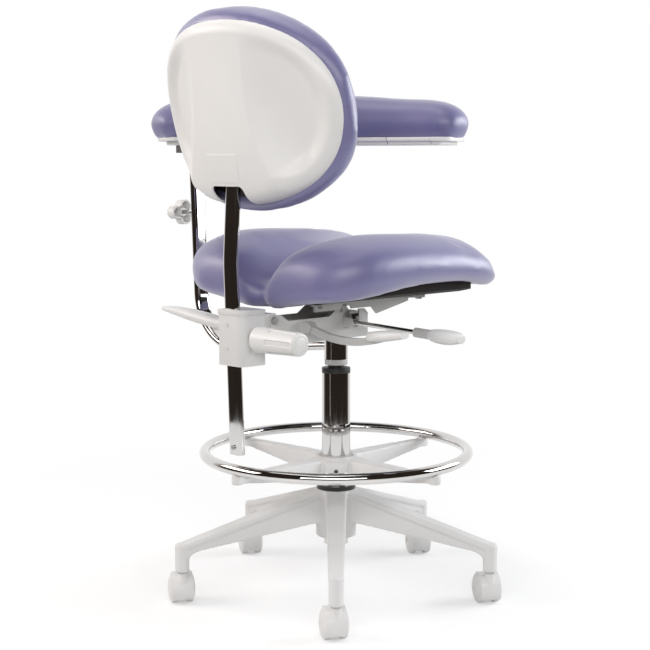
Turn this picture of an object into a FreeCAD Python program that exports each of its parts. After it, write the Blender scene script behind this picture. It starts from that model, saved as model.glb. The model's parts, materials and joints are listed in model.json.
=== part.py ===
import FreeCAD, Part
import math
import os
from FreeCAD import Vector

# Tall clinic stool with a swinging body-support arm, in millimetres, +Z up.
# The origin is on the floor under the gas column. The sitter faces -Y, with +X on the left hand.

# Fits and clearances
RUN_FIT = 0.05
SEAT_FIT = 0.02
PART_GAP = 0.3
OVERCUT = 1.0

# Star base and casters
LEG_COUNT = 5
FIRST_LEG_ANGLE = 135.0
STEM_CIRCLE_RADIUS = 277.0
HUB_DIA = 71.0
HUB_BOTTOM = 100.0
HUB_TOP = 185.0
LEG_INTO_HUB = 8.0
LEG_FLANGE_DEPTH = 11.0
LEG_FLANGE_WIDTH_HUB = 38.0
LEG_FLANGE_WIDTH_TIP = 25.0
LEG_WEB_WIDTH_HUB = 27.0
LEG_WEB_WIDTH_TIP = 18.0
LEG_TOP_AT_TIP = 107.0
LEG_BOTTOM_AT_HUB = 128.0
LEG_BOTTOM_AT_TIP = 88.0
BOSS_DIA = 24.6
BOSS_BOTTOM = 58.0
SHOULDER_REACH = 30.0
SHOULDER_DROP = 26.0
WHEEL_DIA = 50.0
WHEEL_TREAD = 9.4
WHEEL_DOME = 5.0
WHEEL_SPACING = 16.6
WHEEL_EDGE = 0.9
CASTER_TRAIL = 17.0
CASTER_HEADING = 327.0
AXLE_DIA = 8.0
HOOD_WALL = 2.4
HOOD_PLAY = 0.6
HOOD_LIP = 9.0
HOOD_PAST_AXLE = 8.0
HOOD_TOP = 55.0
STEM_DIA = 11.0
STEM_HOUSING_DIA = 18.0
STEM_WASHER_DIA = 16.0
STEM_BOTTOM = 36.0
STEM_TOP = 88.0

# Gas column
COLUMN_DIA = 50.0
COLUMN_WALL = 3.0
COLUMN_FOOT_DIA = 42.0
COLUMN_FOOT_BOTTOM = 86.0
COLUMN_FLOOR = 6.0
COLLAR_DIA = 68.0
COLLAR_HEIGHT = 7.0
BUSH_CAP = 9.0
BUSH_LENGTH = 80.0
CYLINDER_DIA = 28.0
CYLINDER_TAPER = 1.0
CYLINDER_BOTTOM = 125.0
CYLINDER_BORE_DIA = 23.0
CYLINDER_END = 12.0
CHAMBER_DROP = 52.0
ROD_DIA = 10.0
ROD_TAIL = 1.0
PISTON_HEIGHT = 12.0
PISTON_BOTTOM = 345.0
BEARING_DIA = 34.0
BEARING_HEIGHT = 6.0
ROD_FLANGE_DIA = 22.0
ROD_FLANGE_HEIGHT = 4.0
CLIP_DIA = 18.0
CLIP_HEIGHT = 2.5
RELEASE_PIN_DIA = 8.0
RELEASE_PIN_LENGTH = 42.0
RELEASE_PIN_PROUD = 5.0

# Foot ring
RING_RADIUS = 230.0
RING_TUBE_DIA = 19.0
RING_TUBE_WALL = 1.5
RING_HEIGHT = 251.0
SPIDER_HUB_DIA = 74.0
SPIDER_TOP = 244.0
SPIDER_BOTTOM = 204.0
SPOKE_WIDTH_HUB = 34.0
SPOKE_WIDTH_END = 18.0
SPOKE_END_DEPTH = 12.0
SPOKE_STEP = 1.0
SPOKE_ROOT_GAP = 2.0
POST_DIA = 19.0
POST_BOTTOM = 227.0
RING_BUSH_WALL = 3.0
RING_BUSH_LIP = 2.0
CLAMP_BOSS_WIDTH = 44.0
CLAMP_BOSS_REACH = 54.0
CLAMP_BOSS_STEP = 2.5
CLAMP_SCREW_DIA = 8.0

# Tilt mechanism
MECH_HALF_WIDTH = 40.0
MECH_WALL = 4.0
MECH_DEPTH = 48.0
MECH_FRONT = -38.0
MECH_REAR = 190.0
MECH_SHOULDER = 503.0
MECH_TAIL = 35.0
SOCKET_DIA = 44.0
SOCKET_DROP = 3.0
SOCKET_SINK = 9.5
CYLINDER_SINK = 11.0
HINGE_PIN_DIA = 8.0
HINGE_HEAD_DIA = 13.0
HINGE_HEAD = 4.0
SEAT_PIVOT_Y = 24.0
SEAT_PIVOT_RISE = 3.0
BACK_PIVOT_Y = 183.0
BACK_PIVOT_SINK = 5.0
HINGE_EDGE = 8.0
SHAFT_COLLAR_DIA = 40.0
SHAFT_COLLAR_HEIGHT = 10.0
SHAFT_COLLAR_ROOM = 5.0

# Hand levers
LEVER_PIVOT_X = 52.0
LEVER_PIN_DIA = 5.0
LEVER_BARREL_DIA = 12.0
LEVER_BARREL_LENGTH = 14.0
LEVER_EAR = 3.0
LEVER_EAR_MARGIN = 3.0
LIFT_LEVER_Y = 12.0
LIFT_LEVER_SINK = 20.0
LIFT_ROD_DIA = 8.0
LIFT_ROD_END_X = 252.0
LIFT_ROD_FALL = 7.5
LIFT_SLEEVE_DIA = 16.0
LIFT_SLEEVE_START = 196.0
LIFT_PADDLE_START = 228.0
LIFT_PADDLE_END = 294.0
LIFT_PADDLE_WIDTH = 38.0
LIFT_PADDLE_DEPTH = 22.0
FINGER_THICKNESS = 5.0
FINGER_REACH = 5.0
FINGER_WIDTH = 18.0
FINGER_SET_BACK = 5.0
FINGER_CRANK = 5.0
FINGER_ROOM = 3.0
LEVER_SWING_ROOM = 1.5
TILT_LEVER_Y = 113.0
TILT_LEVER_SINK = 21.0
TILT_ARM_WIDTH = 10.0
TILT_ARM_DEPTH = 12.0
TILT_ARM_SAG = 15.0
TILT_ARM_LOW_X = 133.0
TILT_ARM_END_X = 215.0
TILT_ARM_END_RISE = -4.0
TILT_PADDLE_START = 190.0
TILT_PADDLE_END = 264.0
TILT_PADDLE_WIDTH = 34.0
TILT_PADDLE_DEPTH = 17.0
TILT_PADDLE_START_SINK = 3.0
TILT_PADDLE_RISE = 4.5
BACK_LEVER_Y = 140.0
BACK_LEVER_SINK = 29.0
BACK_ARM_END_X = 95.0
BACK_ARM_DEPTH = 10.0
BACK_PADDLE_START = 70.0
BACK_PADDLE_END = 299.0
BACK_PADDLE_WIDTH = 34.0
BACK_PADDLE_DEPTH = 21.0
BACK_PADDLE_TIP = 7.0
BACK_PADDLE_RISE = 17.0

# Back carrier and post
BLOCK_RIGHT = -37.0
BLOCK_LEFT = 19.0
BLOCK_FRONT = 200.0
BLOCK_REAR = 250.0
BLOCK_HEIGHT = 83.0
BLOCK_OVER_PIVOT = 12.0
BLOCK_ROUND = 14.0
LID_HEIGHT = 8.0
LID_LIP = 1.5
TONGUE_DEPTH = 22.0
RIVET_DIA = 8.0
RIVET_HEAD = 1.5
RIVET_UPPER_SINK = 16.0
RIVET_LOWER_SINK = 54.0
POST_WIDTH = 30.0
POST_THICKNESS = 15.0
POST_WALL = 2.0
POST_FOOT_Y = 229.0
POST_FOOT_Z = 278.0
POST_BEND_Y = 240.0
POST_BEND_Z = 596.0
POST_HEAD_Y = 231.0
POST_HEAD_Z = 748.0
POST_BEND_RADIUS = 320.0
STOP_SCREW_RISE = 13.0
STOP_HEAD_DIA = 8.0
STOP_HEAD = 2.5
STOP_SHANK_DIA = 4.0
KNOB_Y = 226.0
KNOB_SINK = 38.0
KNOB_STUD_DIA = 10.0
KNOB_NUT_WIDTH = 17.0
KNOB_NUT_LENGTH = 12.0
KNOB_LENGTH = 100.0
KNOB_DIA = 43.0
KNOB_END_DIA = 37.0
KNOB_FLUTES = 6
KNOB_FLUTE_DIA = 8.0
KNOB_FLUTE_FROM = 36.0
KNOB_FLUTE_LENGTH = 57.0
KNOB_STUD_IN_GRIP = 40.0

# Backrest, in a frame that leans back about the widest line of the shell's rim
BACK_LEAN = 13.2
BACK_CENTRE_Y = 239.5
BACK_CENTRE_Z = 842.5
BACK_WRAP = 47.0
BACK_WRAP_SPAN = 190.0
BACK_SQUARENESS = 2.2
SHELL_HALF_WIDTH = 199.5
SHELL_RISE = 137.0
SHELL_FALL = 160.0
SHELL_WALL = 3.0
SHELL_BAND_DEPTH = 12.0
SHELL_BAND_WIDTH = 20.0
SHELL_SCOOP_DEPTH = 8.0
SHELL_SPINE_DEPTH = 38.0
SHELL_SPINE_WIDTH = 120.0
SHELL_SPINE_SLOPE = 56.0
SHELL_SPINE_FOOT = 40.0
SHELL_SLOT_WIDTH = 76.0
SHELL_SLOT_TOP = 716.0
BACK_PAD_OUTSET = 11.5
BACK_PAD_THICKNESS = 70.0
BACK_PAD_EDGE = 13.0
BACK_BOARD_INSET = 12.0
BACK_BOARD_THICKNESS = 9.0
BRACKET_PLATE_WIDTH = 84.0
BRACKET_PLATE_FALL = 130.0
BRACKET_PLATE_HEIGHT = 90.0
BRACKET_PLATE = 4.0
BRACKET_CHEEK = 5.0
BRACKET_BOTTOM = 717.0

# Seat
SEAT_HALF_WIDTH = 215.0
SEAT_FRONT = -238.0
SEAT_REAR = 187.0
SEAT_DEPTH = 95.0
SEAT_SKIRT_RISE = 8.0
BOARD_OVER_MECH = 23.0
BOARD_THICKNESS = 18.0
BOARD_INSET = 34.0
BOARD_CORNER = 90.0
BOARD_FLAT_WIDTH = 214.0
BOARD_EDGE_RISE = 14.0
SEAT_PLATE = 5.0
SEAT_EAR = 4.7
SEAT_SCREW_DIA = 6.0
SEAT_SCREW_HEAD_DIA = 12.0
SEAT_SCREW_HEAD = 3.0
SEAT_SCREW_BITE = 9.0
SEAT_SCREW_X = 92.0
SEAT_SCREW_FRONT = -112.0
SEAT_SCREW_REAR = 128.0
PLATE_FOOT = 16.0
PLATE_WAIST = 66.0
PLATE_CROTCH_X = 42.0
PLATE_CROTCH_FRONT = -70.0
PLATE_CROTCH_REAR = 66.0
FLANGE_ROOM = 1.5
FLANGE_WALL = 3.0
FLANGE_REAR = 100.0
FLANGE_DEPTH = 20.0
FLANGE_ARCH_DEPTH = 11.0
WING_ROOT = -51.0
WING_ROOT_DEPTH = 33.0
WING_TIP = -133.0
WING_TIP_DEPTH = 16.0

# Body-support arm
ARM_COLLAR_DIA = 42.0
ARM_COLLAR_HEIGHT = 36.7
ARM_COLLAR_ROOM = 4.0
ARM_TUBE_WIDTH = 31.0
ARM_TUBE_THICKNESS = 15.5
ARM_TUBE_WALL = 1.8
ARM_SOCKET_WALL = 4.0
ARM_START_SINK = 15.0
ARM_DROOP = 6.0
ARM_POST_X = 366.0
ARM_POST_Z = 515.0
ARM_POST_LEAN = 2.5
ARM_BEND_RADIUS = 100.0
ARM_TUBE_TOP = 760.0
ARM_INNER_FOOT = 240.0
ARM_KNOB_Z = 661.0
ARM_KNOB_DIA = 51.0
ARM_KNOB_DEPTH = 19.0
ARM_KNOB_WALL = 3.0
ARM_KNOB_LOBES = 3
ARM_KNOB_LOBE_DIA = 25.0
ARM_KNOB_OFFSET = 44.0
ARM_SCREW_DIA = 8.0
ARM_NUT_DIA = 16.0
ARM_NUT_LENGTH = 7.0
ARC_RADIUS = 450.0
ARC_SIDE_X = 379.0
ARC_CENTRE_X = ARC_SIDE_X - ARC_RADIUS
ARC_CENTRE_Y = 141.0
ARC_REAR_END = -6.6
ARC_FRONT_END = -83.6
RAIL_BOTTOM = 772.0
RAIL_DEPTH = 14.0
RAIL_WIDTH = 36.0
RAIL_START = -13.5
RAIL_END = -50.0
TRAY_DEPTH = 15.0
TRAY_STEP = 7.0
TRAY_STEP_INSET = 5.0
TRAY_END_INSET = 3.5
ARM_PAD_WIDTH = 92.0
ARM_PAD_HEIGHT = 71.0
PAD_SCREW_DIA = 6.0
PAD_SCREW_HEAD_DIA = 11.0
PAD_SCREW_HEAD = 2.5
PAD_SCREW_BITE = 8.0
PAD_SCREW_ANGLES = (-22.0, -34.0, -46.0)

# Heights that follow from the housing's shoulder
MECH_BOTTOM = MECH_SHOULDER - MECH_DEPTH
SOCKET_TOP = MECH_SHOULDER - SOCKET_SINK
CYLINDER_TOP = MECH_SHOULDER - CYLINDER_SINK
CHAMBER_TOP = CYLINDER_TOP - CHAMBER_DROP
SEAT_PIVOT_Z = MECH_SHOULDER + SEAT_PIVOT_RISE
BACK_PIVOT_Z = MECH_SHOULDER - BACK_PIVOT_SINK
LIFT_LEVER_Z = MECH_SHOULDER - LIFT_LEVER_SINK
TILT_LEVER_Z = MECH_SHOULDER - TILT_LEVER_SINK
BACK_LEVER_Z = MECH_SHOULDER - BACK_LEVER_SINK
BLOCK_TOP = BACK_PIVOT_Z + BLOCK_OVER_PIVOT
BLOCK_BOTTOM = BLOCK_TOP - BLOCK_HEIGHT
RIVET_UPPER_Z = BLOCK_TOP - RIVET_UPPER_SINK
RIVET_LOWER_Z = BLOCK_TOP - RIVET_LOWER_SINK
KNOB_Z = BLOCK_TOP - KNOB_SINK
BOARD_BOTTOM = MECH_SHOULDER + BOARD_OVER_MECH
SEAT_SKIRT = BOARD_BOTTOM + SEAT_SKIRT_RISE
SEAT_CREST = SEAT_SKIRT + SEAT_DEPTH
ARM_COLLAR_TOP = MECH_BOTTOM - ARM_COLLAR_ROOM
ARM_COLLAR_BOTTOM = ARM_COLLAR_TOP - ARM_COLLAR_HEIGHT
ARM_START_Z = ARM_COLLAR_TOP - ARM_START_SINK
SHAFT_COLLAR_BOTTOM = ARM_COLLAR_BOTTOM - PART_GAP - SHAFT_COLLAR_HEIGHT
COLUMN_TOP = SHAFT_COLLAR_BOTTOM - SHAFT_COLLAR_ROOM - BUSH_CAP

UP = Vector(0, 0, 1)
ALONG_X = Vector(1, 0, 0)
ALONG_Y = Vector(0, 1, 0)
ORIGIN = Vector(0, 0, 0)


# Basic solids and paths
def cylinder(dia, start, axis, length):
    return Part.makeCylinder(dia / 2, length, start, axis)


def upright(dia, low, high, x=0.0, y=0.0):
    return cylinder(dia, Vector(x, y, low), UP, high - low)


def block(x_low, x_high, y_low, y_high, z_low, z_high):
    corner = Vector(x_low, y_low, z_low)
    return Part.makeBox(x_high - x_low, y_high - y_low, z_high - z_low, corner)


def prism(points, sweep):
    outline = Part.makePolygon(points + points[:1])
    return Part.Face(outline).extrude(sweep)


def rectangle_at(x, width, low, high):
    half = width / 2
    corners = [Vector(x, -half, low), Vector(x, half, low), Vector(x, half, high), Vector(x, -half, high)]
    return Part.makePolygon(corners + corners[:1])


def tapered_beam(near, far):
    return Part.makeLoft([rectangle_at(*near), rectangle_at(*far)], True, True)


def flat_oval(width, thickness, centre, wide, thin):
    radius = thickness / 2
    reach = width / 2 - radius
    a = centre + wide * reach + thin * radius
    b = centre + wide * (reach + radius)
    c = centre + wide * reach - thin * radius
    d = centre - wide * reach - thin * radius
    e = centre - wide * (reach + radius)
    f = centre - wide * reach + thin * radius
    edges = [
        Part.Arc(a, b, c).toShape(),
        Part.LineSegment(c, d).toShape(),
        Part.Arc(d, e, f).toShape(),
        Part.LineSegment(f, a).toShape(),
    ]
    return Part.Wire(edges)


def bent_path(start, corner, end, radius):
    into = (corner - start).normalize()
    out = (end - corner).normalize()
    turn = into.getAngle(out)
    setback = radius * math.tan(turn / 2)
    first = corner - into * setback
    last = corner + out * setback
    inward = (out - into).normalize()
    middle = corner + inward * (radius / math.cos(turn / 2) - radius)
    edges = [
        Part.LineSegment(start, first).toShape(),
        Part.Arc(first, middle, last).toShape(),
        Part.LineSegment(last, end).toShape(),
    ]
    return Part.Wire(edges)


def swept(path, section):
    return path.makePipeShell([section], True, False)


def closed_arcs(points):
    edges = []
    count = len(points)
    for i in range(0, count, 2):
        edges.append(Part.Arc(points[i], points[i + 1], points[(i + 2) % count]).toShape())
    return Part.Wire(edges)


def turn_about_z(shape, angle, pivot=ORIGIN):
    return shape.rotated(pivot, UP, angle)


def leg_angles():
    return [FIRST_LEG_ANGLE + i * 360.0 / LEG_COUNT for i in range(LEG_COUNT)]


# Star base
def column_taper():
    return Part.makeCone(COLUMN_FOOT_DIA / 2, COLUMN_DIA / 2, HUB_TOP - HUB_BOTTOM, Vector(0, 0, HUB_BOTTOM))


def star_leg():
    hub_radius = HUB_DIA / 2 - LEG_INTO_HUB
    flange = tapered_beam(
        (hub_radius, LEG_FLANGE_WIDTH_HUB, HUB_TOP - LEG_FLANGE_DEPTH, HUB_TOP),
        (STEM_CIRCLE_RADIUS, LEG_FLANGE_WIDTH_TIP, LEG_TOP_AT_TIP - LEG_FLANGE_DEPTH, LEG_TOP_AT_TIP),
    )
    web = tapered_beam(
        (hub_radius, LEG_WEB_WIDTH_HUB, LEG_BOTTOM_AT_HUB, HUB_TOP - LEG_FLANGE_DEPTH / 2),
        (STEM_CIRCLE_RADIUS, LEG_WEB_WIDTH_TIP, LEG_BOTTOM_AT_TIP, LEG_TOP_AT_TIP - LEG_FLANGE_DEPTH / 2),
    )
    boss = upright(BOSS_DIA, BOSS_BOTTOM, LEG_TOP_AT_TIP, STEM_CIRCLE_RADIUS)
    boss = boss.makeFillet(LEG_FLANGE_DEPTH / 3, [boss.Edges[0]])
    inner = STEM_CIRCLE_RADIUS - SHOULDER_REACH
    ceiling = LEG_TOP_AT_TIP - LEG_FLANGE_DEPTH
    slope = (LEG_BOTTOM_AT_HUB - LEG_BOTTOM_AT_TIP) / (STEM_CIRCLE_RADIUS - hub_radius)
    underside = LEG_BOTTOM_AT_TIP + slope * SHOULDER_REACH
    half = LEG_WEB_WIDTH_TIP / 2
    low = Vector(STEM_CIRCLE_RADIUS, -half, LEG_BOTTOM_AT_TIP - SHOULDER_DROP)
    edge = Vector(STEM_CIRCLE_RADIUS - 0.3 * SHOULDER_REACH, -half, LEG_BOTTOM_AT_TIP - 0.3 * SHOULDER_DROP)
    start = Vector(inner, -half, underside)
    top_in = Vector(inner, -half, ceiling)
    top_out = Vector(STEM_CIRCLE_RADIUS, -half, ceiling)
    edges = [
        Part.Arc(start, edge, low).toShape(),
        Part.LineSegment(low, top_out).toShape(),
        Part.LineSegment(top_out, top_in).toShape(),
        Part.LineSegment(top_in, start).toShape(),
    ]
    shoulder = Part.Face(Part.Wire(edges)).extrude(Vector(0, 2 * half, 0))
    return flange.multiFuse([web, boss, shoulder])


def star_base():
    hub = upright(HUB_DIA, HUB_BOTTOM, HUB_TOP)
    leg = star_leg()
    body = hub.multiFuse([turn_about_z(leg, angle) for angle in leg_angles()])
    bore = Part.makeCone(
        COLUMN_FOOT_DIA / 2 + SEAT_FIT,
        COLUMN_DIA / 2 + SEAT_FIT,
        HUB_TOP - HUB_BOTTOM,
        Vector(0, 0, HUB_BOTTOM),
    )
    stem_hole = upright(STEM_DIA + 2 * SEAT_FIT, BOSS_BOTTOM, STEM_TOP + SEAT_FIT, STEM_CIRCLE_RADIUS)
    holes = [turn_about_z(stem_hole, angle) for angle in leg_angles()]
    return body.cut(Part.Compound([bore] + holes))


def caster_stems():
    stem = upright(STEM_DIA, STEM_BOTTOM, STEM_TOP, STEM_CIRCLE_RADIUS)
    washer = upright(STEM_WASHER_DIA, HOOD_TOP + PART_GAP, BOSS_BOTTOM, STEM_CIRCLE_RADIUS)
    whole = stem.fuse(washer)
    return Part.Compound([turn_about_z(whole, angle) for angle in leg_angles()])


# One caster about its own stem, trailing along +Y
def across_axle(dia, half_width):
    start = Vector(-half_width, CASTER_TRAIL, WHEEL_DIA / 2)
    return cylinder(dia, start, ALONG_X, 2 * half_width)


def wheel_clearance():
    inner_gap = WHEEL_SPACING / 2 - HOOD_PLAY
    reach = WHEEL_SPACING + WHEEL_TREAD + WHEEL_DOME
    both = across_axle(WHEEL_DIA + 2 * HOOD_PLAY, reach)
    return both.cut(across_axle(2 * WHEEL_DIA, inner_gap))


def caster_hood():
    hood_dia = WHEEL_DIA + 2 * HOOD_PLAY + 2 * HOOD_WALL
    half_width = WHEEL_SPACING / 2 + WHEEL_TREAD
    shell = across_axle(hood_dia, half_width)
    housing = upright(STEM_HOUSING_DIA, WHEEL_DIA / 2, HOOD_TOP)
    body = shell.fuse(housing).cut(wheel_clearance())
    wide = 2 * hood_dia
    below = block(-wide, wide, -wide, wide, -wide, HOOD_LIP)
    behind = block(-wide, wide, CASTER_TRAIL + HOOD_PAST_AXLE, wide, HOOD_LIP, wide)
    axle_bore = across_axle(AXLE_DIA + 2 * RUN_FIT, wide)
    stem_bore = upright(STEM_DIA + 2 * RUN_FIT, STEM_BOTTOM - PART_GAP, HOOD_TOP)
    return body.cut(Part.Compound([below, behind, axle_bore, stem_bore]))


def caster_wheel(side):
    bore = AXLE_DIA / 2 + SEAT_FIT
    inner = WHEEL_SPACING / 2
    outer = inner + WHEEL_TREAD
    radius = WHEEL_DIA / 2
    rim = Vector(radius, 0, outer)
    dome = Vector(0.66 * radius, 0, outer + 0.78 * WHEEL_DOME)
    nose = Vector(bore, 0, outer + WHEEL_DOME)
    foot = Vector(bore, 0, inner)
    face = Vector(radius - WHEEL_EDGE, 0, inner)
    edge = Vector(radius, 0, inner + WHEEL_EDGE)
    edges = [
        Part.LineSegment(foot, face).toShape(),
        Part.LineSegment(face, edge).toShape(),
        Part.LineSegment(edge, rim).toShape(),
        Part.Arc(rim, dome, nose).toShape(),
        Part.LineSegment(nose, foot).toShape(),
    ]
    wheel = Part.Face(Part.Wire(edges)).revolve(ORIGIN, UP, 360)
    wheel.rotate(ORIGIN, ALONG_Y, 90 * side)
    wheel.translate(Vector(0, CASTER_TRAIL, WHEEL_DIA / 2))
    return wheel


def caster_wheels():
    half = WHEEL_SPACING / 2 + WHEEL_TREAD + 0.6 * WHEEL_DOME
    return Part.Compound([caster_wheel(1), caster_wheel(-1), across_axle(AXLE_DIA, half)])


def at_leg(shape, angle):
    placed = turn_about_z(shape, CASTER_HEADING - 90)
    radians = math.radians(angle)
    placed.translate(Vector(math.cos(radians), math.sin(radians), 0) * STEM_CIRCLE_RADIUS)
    return placed


# Gas column
def column_tube():
    bore = COLUMN_DIA - 2 * COLUMN_WALL
    foot_bore = COLUMN_FOOT_DIA - 2 * COLUMN_WALL
    outside = upright(COLUMN_DIA, HUB_TOP, COLUMN_TOP)
    foot = upright(COLUMN_FOOT_DIA, COLUMN_FOOT_BOTTOM, HUB_BOTTOM)
    body = outside.multiFuse([column_taper(), foot])
    floor = COLUMN_FOOT_BOTTOM + COLUMN_FLOOR
    cavity = upright(foot_bore, floor, COLUMN_TOP)
    wide_cavity = upright(bore, HUB_TOP, COLUMN_TOP)
    rod_hole = upright(ROD_DIA + 2 * RUN_FIT, COLUMN_FOOT_BOTTOM, floor)
    return body.cut(Part.Compound([cavity, wide_cavity, rod_hole]))


def base_collar():
    ring = upright(COLLAR_DIA, HUB_TOP, HUB_TOP + COLLAR_HEIGHT)
    return ring.cut(upright(COLUMN_DIA + 2 * SEAT_FIT, HUB_TOP, HUB_TOP + COLLAR_HEIGHT))


def column_bush():
    cap = upright(COLUMN_DIA, COLUMN_TOP, COLUMN_TOP + BUSH_CAP)
    sleeve_dia = COLUMN_DIA - 2 * COLUMN_WALL - 2 * SEAT_FIT
    sleeve = upright(sleeve_dia, COLUMN_TOP - BUSH_LENGTH, COLUMN_TOP)
    bore = upright(CYLINDER_DIA + 2 * RUN_FIT, COLUMN_TOP - BUSH_LENGTH, COLUMN_TOP + BUSH_CAP)
    return cap.fuse(sleeve).cut(bore)


def bearing_bottom():
    return COLUMN_FOOT_BOTTOM + COLUMN_FLOOR


def thrust_bearing():
    low = bearing_bottom()
    ring = upright(BEARING_DIA, low, low + BEARING_HEIGHT)
    return ring.cut(upright(ROD_DIA + 4 * RUN_FIT, low, low + BEARING_HEIGHT))


def clip_top():
    return COLUMN_FOOT_BOTTOM - PART_GAP


def piston_rod():
    rod = upright(ROD_DIA, clip_top() - CLIP_HEIGHT - ROD_TAIL, PISTON_BOTTOM)
    flange_low = bearing_bottom() + BEARING_HEIGHT + PART_GAP
    flange = upright(ROD_FLANGE_DIA, flange_low, flange_low + ROD_FLANGE_HEIGHT)
    piston_dia = CYLINDER_BORE_DIA - 2 * RUN_FIT
    piston = upright(piston_dia, PISTON_BOTTOM, PISTON_BOTTOM + PISTON_HEIGHT)
    return rod.multiFuse([flange, piston])


def bottom_clip():
    low = clip_top() - CLIP_HEIGHT
    disc = upright(CLIP_DIA, low, clip_top())
    return disc.cut(upright(ROD_DIA + 2 * SEAT_FIT, low, clip_top()))


def cylinder_shoulder():
    return MECH_BOTTOM - SOCKET_DROP


def cylinder_nose(play):
    height = CYLINDER_TOP - cylinder_shoulder()
    low = CYLINDER_DIA / 2 + play
    return Part.makeCone(low, low - CYLINDER_TAPER, height, Vector(0, 0, cylinder_shoulder()))


def gas_cylinder():
    body = upright(CYLINDER_DIA, CYLINDER_BOTTOM, cylinder_shoulder()).fuse(cylinder_nose(0))
    chamber = upright(CYLINDER_BORE_DIA, CYLINDER_BOTTOM + CYLINDER_END, CHAMBER_TOP)
    rod_hole = upright(ROD_DIA + 2 * RUN_FIT, CYLINDER_BOTTOM, CYLINDER_BOTTOM + CYLINDER_END)
    pin_hole = upright(RELEASE_PIN_DIA + 2 * RUN_FIT, CHAMBER_TOP, CYLINDER_TOP)
    return body.cut(Part.Compound([chamber, rod_hole, pin_hole]))


def release_pin_top():
    return CYLINDER_TOP + RELEASE_PIN_PROUD


def release_pin():
    return upright(RELEASE_PIN_DIA, release_pin_top() - RELEASE_PIN_LENGTH, release_pin_top())


# Foot ring
def ring_section(dia):
    circle = Part.Circle(Vector(RING_RADIUS, 0, RING_HEIGHT), ALONG_Y, dia / 2)
    return Part.Wire(circle.toShape())


def footring_ring():
    outer = Part.Face(ring_section(RING_TUBE_DIA)).revolve(ORIGIN, UP, 360)
    inner = Part.Face(ring_section(RING_TUBE_DIA - 2 * RING_TUBE_WALL)).revolve(ORIGIN, UP, 360)
    return outer.cut(inner)


def bush_dia():
    return COLUMN_DIA + 2 * RUN_FIT + 2 * RING_BUSH_WALL


def clamp_direction():
    radians = math.radians(FIRST_LEG_ANGLE)
    return Vector(math.cos(radians), math.sin(radians), 0)


def clamp_height():
    return (SPIDER_TOP + SPIDER_BOTTOM) / 2


def spider_spoke():
    post_top = RING_HEIGHT - RING_TUBE_DIA / 4
    spoke_top = (SPIDER_TOP + POST_BOTTOM + SPOKE_END_DEPTH) / 2
    root = COLUMN_DIA / 2 + RING_BUSH_WALL + SPOKE_ROOT_GAP
    beam = tapered_beam(
        (root, SPOKE_WIDTH_HUB, SPIDER_BOTTOM, SPIDER_TOP - SPOKE_STEP),
        (RING_RADIUS, SPOKE_WIDTH_END, spoke_top - SPOKE_END_DEPTH, spoke_top),
    )
    post = upright(POST_DIA, POST_BOTTOM, post_top, RING_RADIUS)
    return beam.fuse(post)


def footring_spider():
    hub = upright(SPIDER_HUB_DIA, SPIDER_BOTTOM, SPIDER_TOP)
    spokes = [turn_about_z(spider_spoke(), 90 * i) for i in range(4)]
    half = CLAMP_BOSS_WIDTH / 2
    boss_low = SPIDER_BOTTOM + CLAMP_BOSS_STEP
    boss_high = SPIDER_TOP - CLAMP_BOSS_STEP
    boss = block(0, CLAMP_BOSS_REACH, -half, half, boss_low, boss_high)
    outer = [e for e in boss.Edges if e.CenterOfMass.x > CLAMP_BOSS_REACH - OVERCUT]
    boss = boss.makeFillet(CLAMP_BOSS_WIDTH / 6, outer)
    body = hub.multiFuse(spokes + [turn_about_z(boss, FIRST_LEG_ANGLE)])
    bore = upright(bush_dia() + 2 * SEAT_FIT, SPIDER_BOTTOM, SPIDER_TOP)
    start = Vector(0, 0, clamp_height())
    screw_hole = cylinder(CLAMP_SCREW_DIA + 2 * SEAT_FIT, start, clamp_direction(), 2 * CLAMP_BOSS_REACH)
    saddle = Part.Face(ring_section(RING_TUBE_DIA + 2 * SEAT_FIT)).revolve(ORIGIN, UP, 360)
    return body.cut(Part.Compound([bore, screw_hole])).cut(saddle)


def footring_bush():
    sleeve = upright(bush_dia(), SPIDER_BOTTOM, SPIDER_TOP + RING_BUSH_LIP)
    return sleeve.cut(upright(COLUMN_DIA + 2 * RUN_FIT, SPIDER_BOTTOM, SPIDER_TOP + RING_BUSH_LIP))


def footring_screw():
    direction = clamp_direction()
    start = Vector(0, 0, clamp_height()) + direction * (bush_dia() / 2 + SEAT_FIT)
    length = CLAMP_BOSS_REACH - bush_dia() / 2 - CLAMP_SCREW_DIA / 2
    return cylinder(CLAMP_SCREW_DIA, start, direction, length)


# Tilt mechanism
def side_wall():
    outline = [
        (MECH_FRONT, MECH_BOTTOM),
        (MECH_REAR - MECH_TAIL, MECH_BOTTOM),
        (MECH_REAR, BACK_PIVOT_Z - 2 * HINGE_EDGE),
        (MECH_REAR, BACK_PIVOT_Z + HINGE_EDGE),
        (BACK_PIVOT_Y - 2 * HINGE_EDGE, BACK_PIVOT_Z + HINGE_EDGE),
        (BACK_PIVOT_Y - 4 * HINGE_EDGE, MECH_SHOULDER - HINGE_EDGE),
        (SEAT_PIVOT_Y + 4 * HINGE_EDGE, MECH_SHOULDER - HINGE_EDGE),
        (SEAT_PIVOT_Y + HINGE_EDGE, SEAT_PIVOT_Z + 0.6 * HINGE_EDGE),
        (SEAT_PIVOT_Y - HINGE_EDGE, SEAT_PIVOT_Z + 0.6 * HINGE_EDGE),
        (SEAT_PIVOT_Y - 2 * HINGE_EDGE, MECH_SHOULDER),
        (MECH_FRONT + HINGE_EDGE, MECH_SHOULDER),
        (MECH_FRONT, MECH_SHOULDER - HINGE_EDGE),
    ]
    points = [Vector(MECH_HALF_WIDTH - MECH_WALL, y, z) for y, z in outline]
    return prism(points, ALONG_X * MECH_WALL)


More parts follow.
